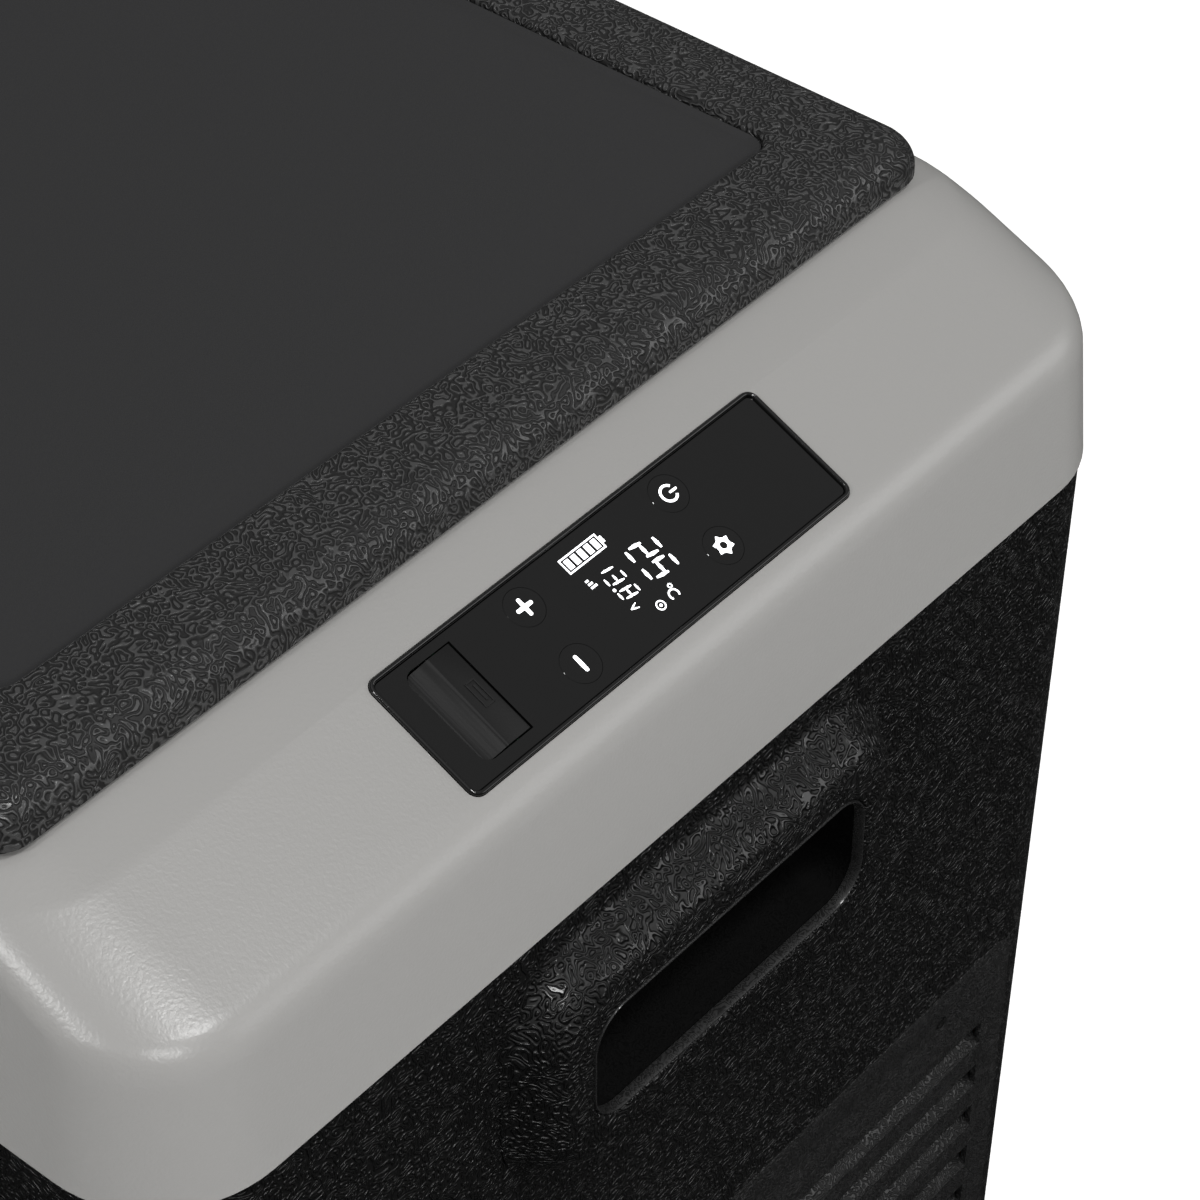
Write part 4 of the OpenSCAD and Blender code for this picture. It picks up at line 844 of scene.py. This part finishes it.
def merged(node):
    """A copy of a CAD node's mesh in millimetres, with its flat faces made whole."""
    mesh = bmesh.new()
    mesh.from_mesh(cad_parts[node].data)
    bmesh.ops.scale(mesh, vec=(1 / MM, 1 / MM, 1 / MM), verts=mesh.verts[:])
    bmesh.ops.remove_doubles(mesh, verts=mesh.verts[:], dist=0.002)
    bmesh.ops.dissolve_limit(mesh, angle_limit=math.radians(1), verts=mesh.verts[:], edges=mesh.edges[:])
    return mesh


def softened(node, width, material, body, segments=2):
    """The CAD node's shape with its edges rounded as moulded or pressed ones are."""
    made = to_object(node + "_finished", merged(node))
    rounded_edges(made, width, segments)
    return finish(made, material, body, [node])


tub = merged("tub_liner")
DEEP = tub_low.z + 1.5
steps = [v.co.z for v in tub.verts if DEEP + 100 < v.co.z < deck_z - 20]
SHELF = max(steps)


def on_floor(edge):
    """Whether an edge runs round the inside of a floor."""
    return any(all(abs(v.co.z - z) < 0.1 for v in edge.verts) for z in (DEEP, SHELF))


bmesh.ops.bevel(tub, geom=[e for e in tub.edges if on_floor(e)], offset=7.0, affect="EDGES", segments=5,
                profile=0.5, material=-1, clamp_overlap=True)
finish(to_object("tub", tub), liner_plastic, "casing", ["tub_liner"], angle=30)
softened("lid_liner", 0.7, liner_plastic, "lid")

# Hinges: two butt hinges of pressed steel with a black electrophoretic coat, screwed to the collar
# and clipped under the lid, on zinc-plated pins. The catch's striker is plated steel too.
# Black with a soft clear shine over faint dimples
ecoat, tree, shader = new_material("steel, black e-coat")
surface(shader, "161617", 0.42, 0.0, Coat_Weight=0.3, Coat_Roughness=0.3)
dimple = noise(tree, 1.5, 2.0)
relief(tree, shader, dimple, 0.02)
softened("lid_hinge_leaves", 0.4, ecoat, "lid")
softened("frame_hinge_brackets", 0.4, ecoat, "casing")
# Bright cold metal with cloudy, duller patches
zinc, tree, shader = new_material("steel, bright zinc plate")
surface(shader, "b9babd", 0.3, 1.0)
bloom = noise(tree, 3.0, 4.0)
polish(tree, shader, bloom, 0.2, 0.45)
tint(tree, shader, bloom, "a9abb0", "c9c9c6")
softened("lid_striker", 0.3, zinc, "lid")


def paint(material, *nodes):
    """Gives CAD nodes whose shape is right their finish."""
    for node in nodes:
        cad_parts[node].data.materials.clear()
        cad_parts[node].data.materials.append(material)


paint(zinc, "base_screws", "compressor_bolts", "hinge_pins", "hinge_screws", "lid_screws", "usb_port")

# Small mouldings: satin black ABS. The catch's slider has a ribbed thumb pad; the side grilles are
# clipped into the long walls; the base plate is screwed to the body's flange.
# Plain black with a fine frosted sheen
satin_abs, tree, shader = new_material("black abs, moulded satin")
surface(shader, "141414", 0.5)
frost = noise(tree, 0.8, 2.0)
relief(tree, shader, frost, 0.05)
slider = to_object("catch_slider", merged("lock_slider"))
slider_low, slider_high = size("lock_slider")
cut(slider, *[block(slider_low.x + 2 + 2 * k, slider_low.x + 3 + 2 * k, slider_low.y - 1, slider_low.y + 20,
                    slider_high.z - 0.6, slider_high.z + 5) for k in range(4)])
rounded_edges(slider, 0.25)
finish(slider, satin_abs, "lock", ["lock_slider"])
for node in ("side_grille_front", "side_grille_back", "dc_inlet", "base_plate"):
    softened(node, 0.5, grille_plastic if "grille" in node else satin_abs, "casing")
paint(satin_abs, "fan_frame", "fan_rotor", "compressor_terminal_cover")

# Feet, gasket and compressor mounts: black EPDM rubber, dull with a faint bloom.
# Dull near-black, patchy with bloom
epdm, tree, shader = new_material("black epdm rubber, moulded")
surface(shader, "111111", 0.75)
bloom = noise(tree, 2.0, 3.0)
tint(tree, shader, bloom, "0d0d0d", "171716")
softened("rubber_feet", 1.2, epdm, "casing", 3)
paint(epdm, "lid_gasket", "compressor_grommets")

# Cooling unit: a black enamelled steel compressor on its plate, drawn copper pipes, aluminium fins,
# coil and partition, with a milled case round the electronics that drive it.
# Wet-looking black over a slight orange peel
enamel, tree, shader = new_material("steel, black enamel")
surface(shader, "0f0f10", 0.22, 0.0, Coat_Weight=0.5, Coat_Roughness=0.1)
peel = noise(tree, 2.5, 1.0)
relief(tree, shader, peel, 0.05)
paint(enamel, "compressor_shell", "compressor_plate")
# Bare metals, cloudy between bright and dull: bright colour, dull colour, roughness, nodes
METALS = {"copper, drawn": ("c07a50", "8f5638", 0.32, ("condenser_tubes", "filter_drier", "discharge_pipe",
                                                       "suction_pipe", "capillary_tube")),
          "aluminium, mill finish": ("c9cbcd", "b2b4b6", 0.4, ("bay_partition", "evaporator_coil",
                                                               "condenser_fins", "driver_case")),
          "brass, tin flash": ("cdb26a", "b89a55", 0.3, ("dc_inlet_pins",))}
for name, (bright, dull, rough, nodes) in METALS.items():
    metal, tree, shader = new_material(name)
    surface(shader, bright, rough, 1.0)
    drawn = noise(tree, 5.0, 4.0)
    tint(tree, shader, drawn, dull, bright)
    polish(tree, shader, drawn, rough - 0.1, rough + 0.15)
    paint(metal, *nodes)

# Insulation: poured polyurethane foam, a pale yellow crust of cells about 1 mm across.
# Chalky pale yellow, pitted with small cells
foam, tree, shader = new_material("polyurethane foam, poured")
surface(shader, "ddcf9a", 0.9)
place = add(tree, "TexCoord").outputs["Object"]
cells = add(tree, "TexVoronoi", {"Vector": place, "Scale": 1 / (1.2 * MM)})
relief(tree, shader, cells.outputs["Distance"], 0.3)
shade = add(tree, "MapRange", {"Value": cells.outputs["Distance"]})
tint(tree, shader, shade.outputs[0], "e2d5a4", "c9b87e")
paint(foam, "insulation_foam", "lid_foam")

# Electronics: a glass-epoxy board in green solder mask, the display's smoked epoxy block, the probe's
# epoxy bead, and the lamp's milky polycarbonate lens.
# Small resin parts, each slightly cloudy: two colours, roughness, cloud size in mm, nodes
PARTS = {"glass epoxy, green solder mask": ("0c3a22", "124a2c", 0.3, 0.6, ("control_board",)),
         "smoked epoxy": ("0b0b0c", "101012", 0.25, 3.0, ("display_module", "temperature_probe")),
         "milky polycarbonate": ("eef0ee", "e2e4e2", 0.35, 2.0, ("interior_lamp",))}
for name, (first, second, rough, grain, nodes) in PARTS.items():
    resin, tree, shader = new_material(name)
    surface(shader, first, rough)
    cloud = noise(tree, grain, 2.0)
    tint(tree, shader, cloud, first, second)
    relief(tree, shader, cloud, 0.01)
    paint(resin, *nodes)
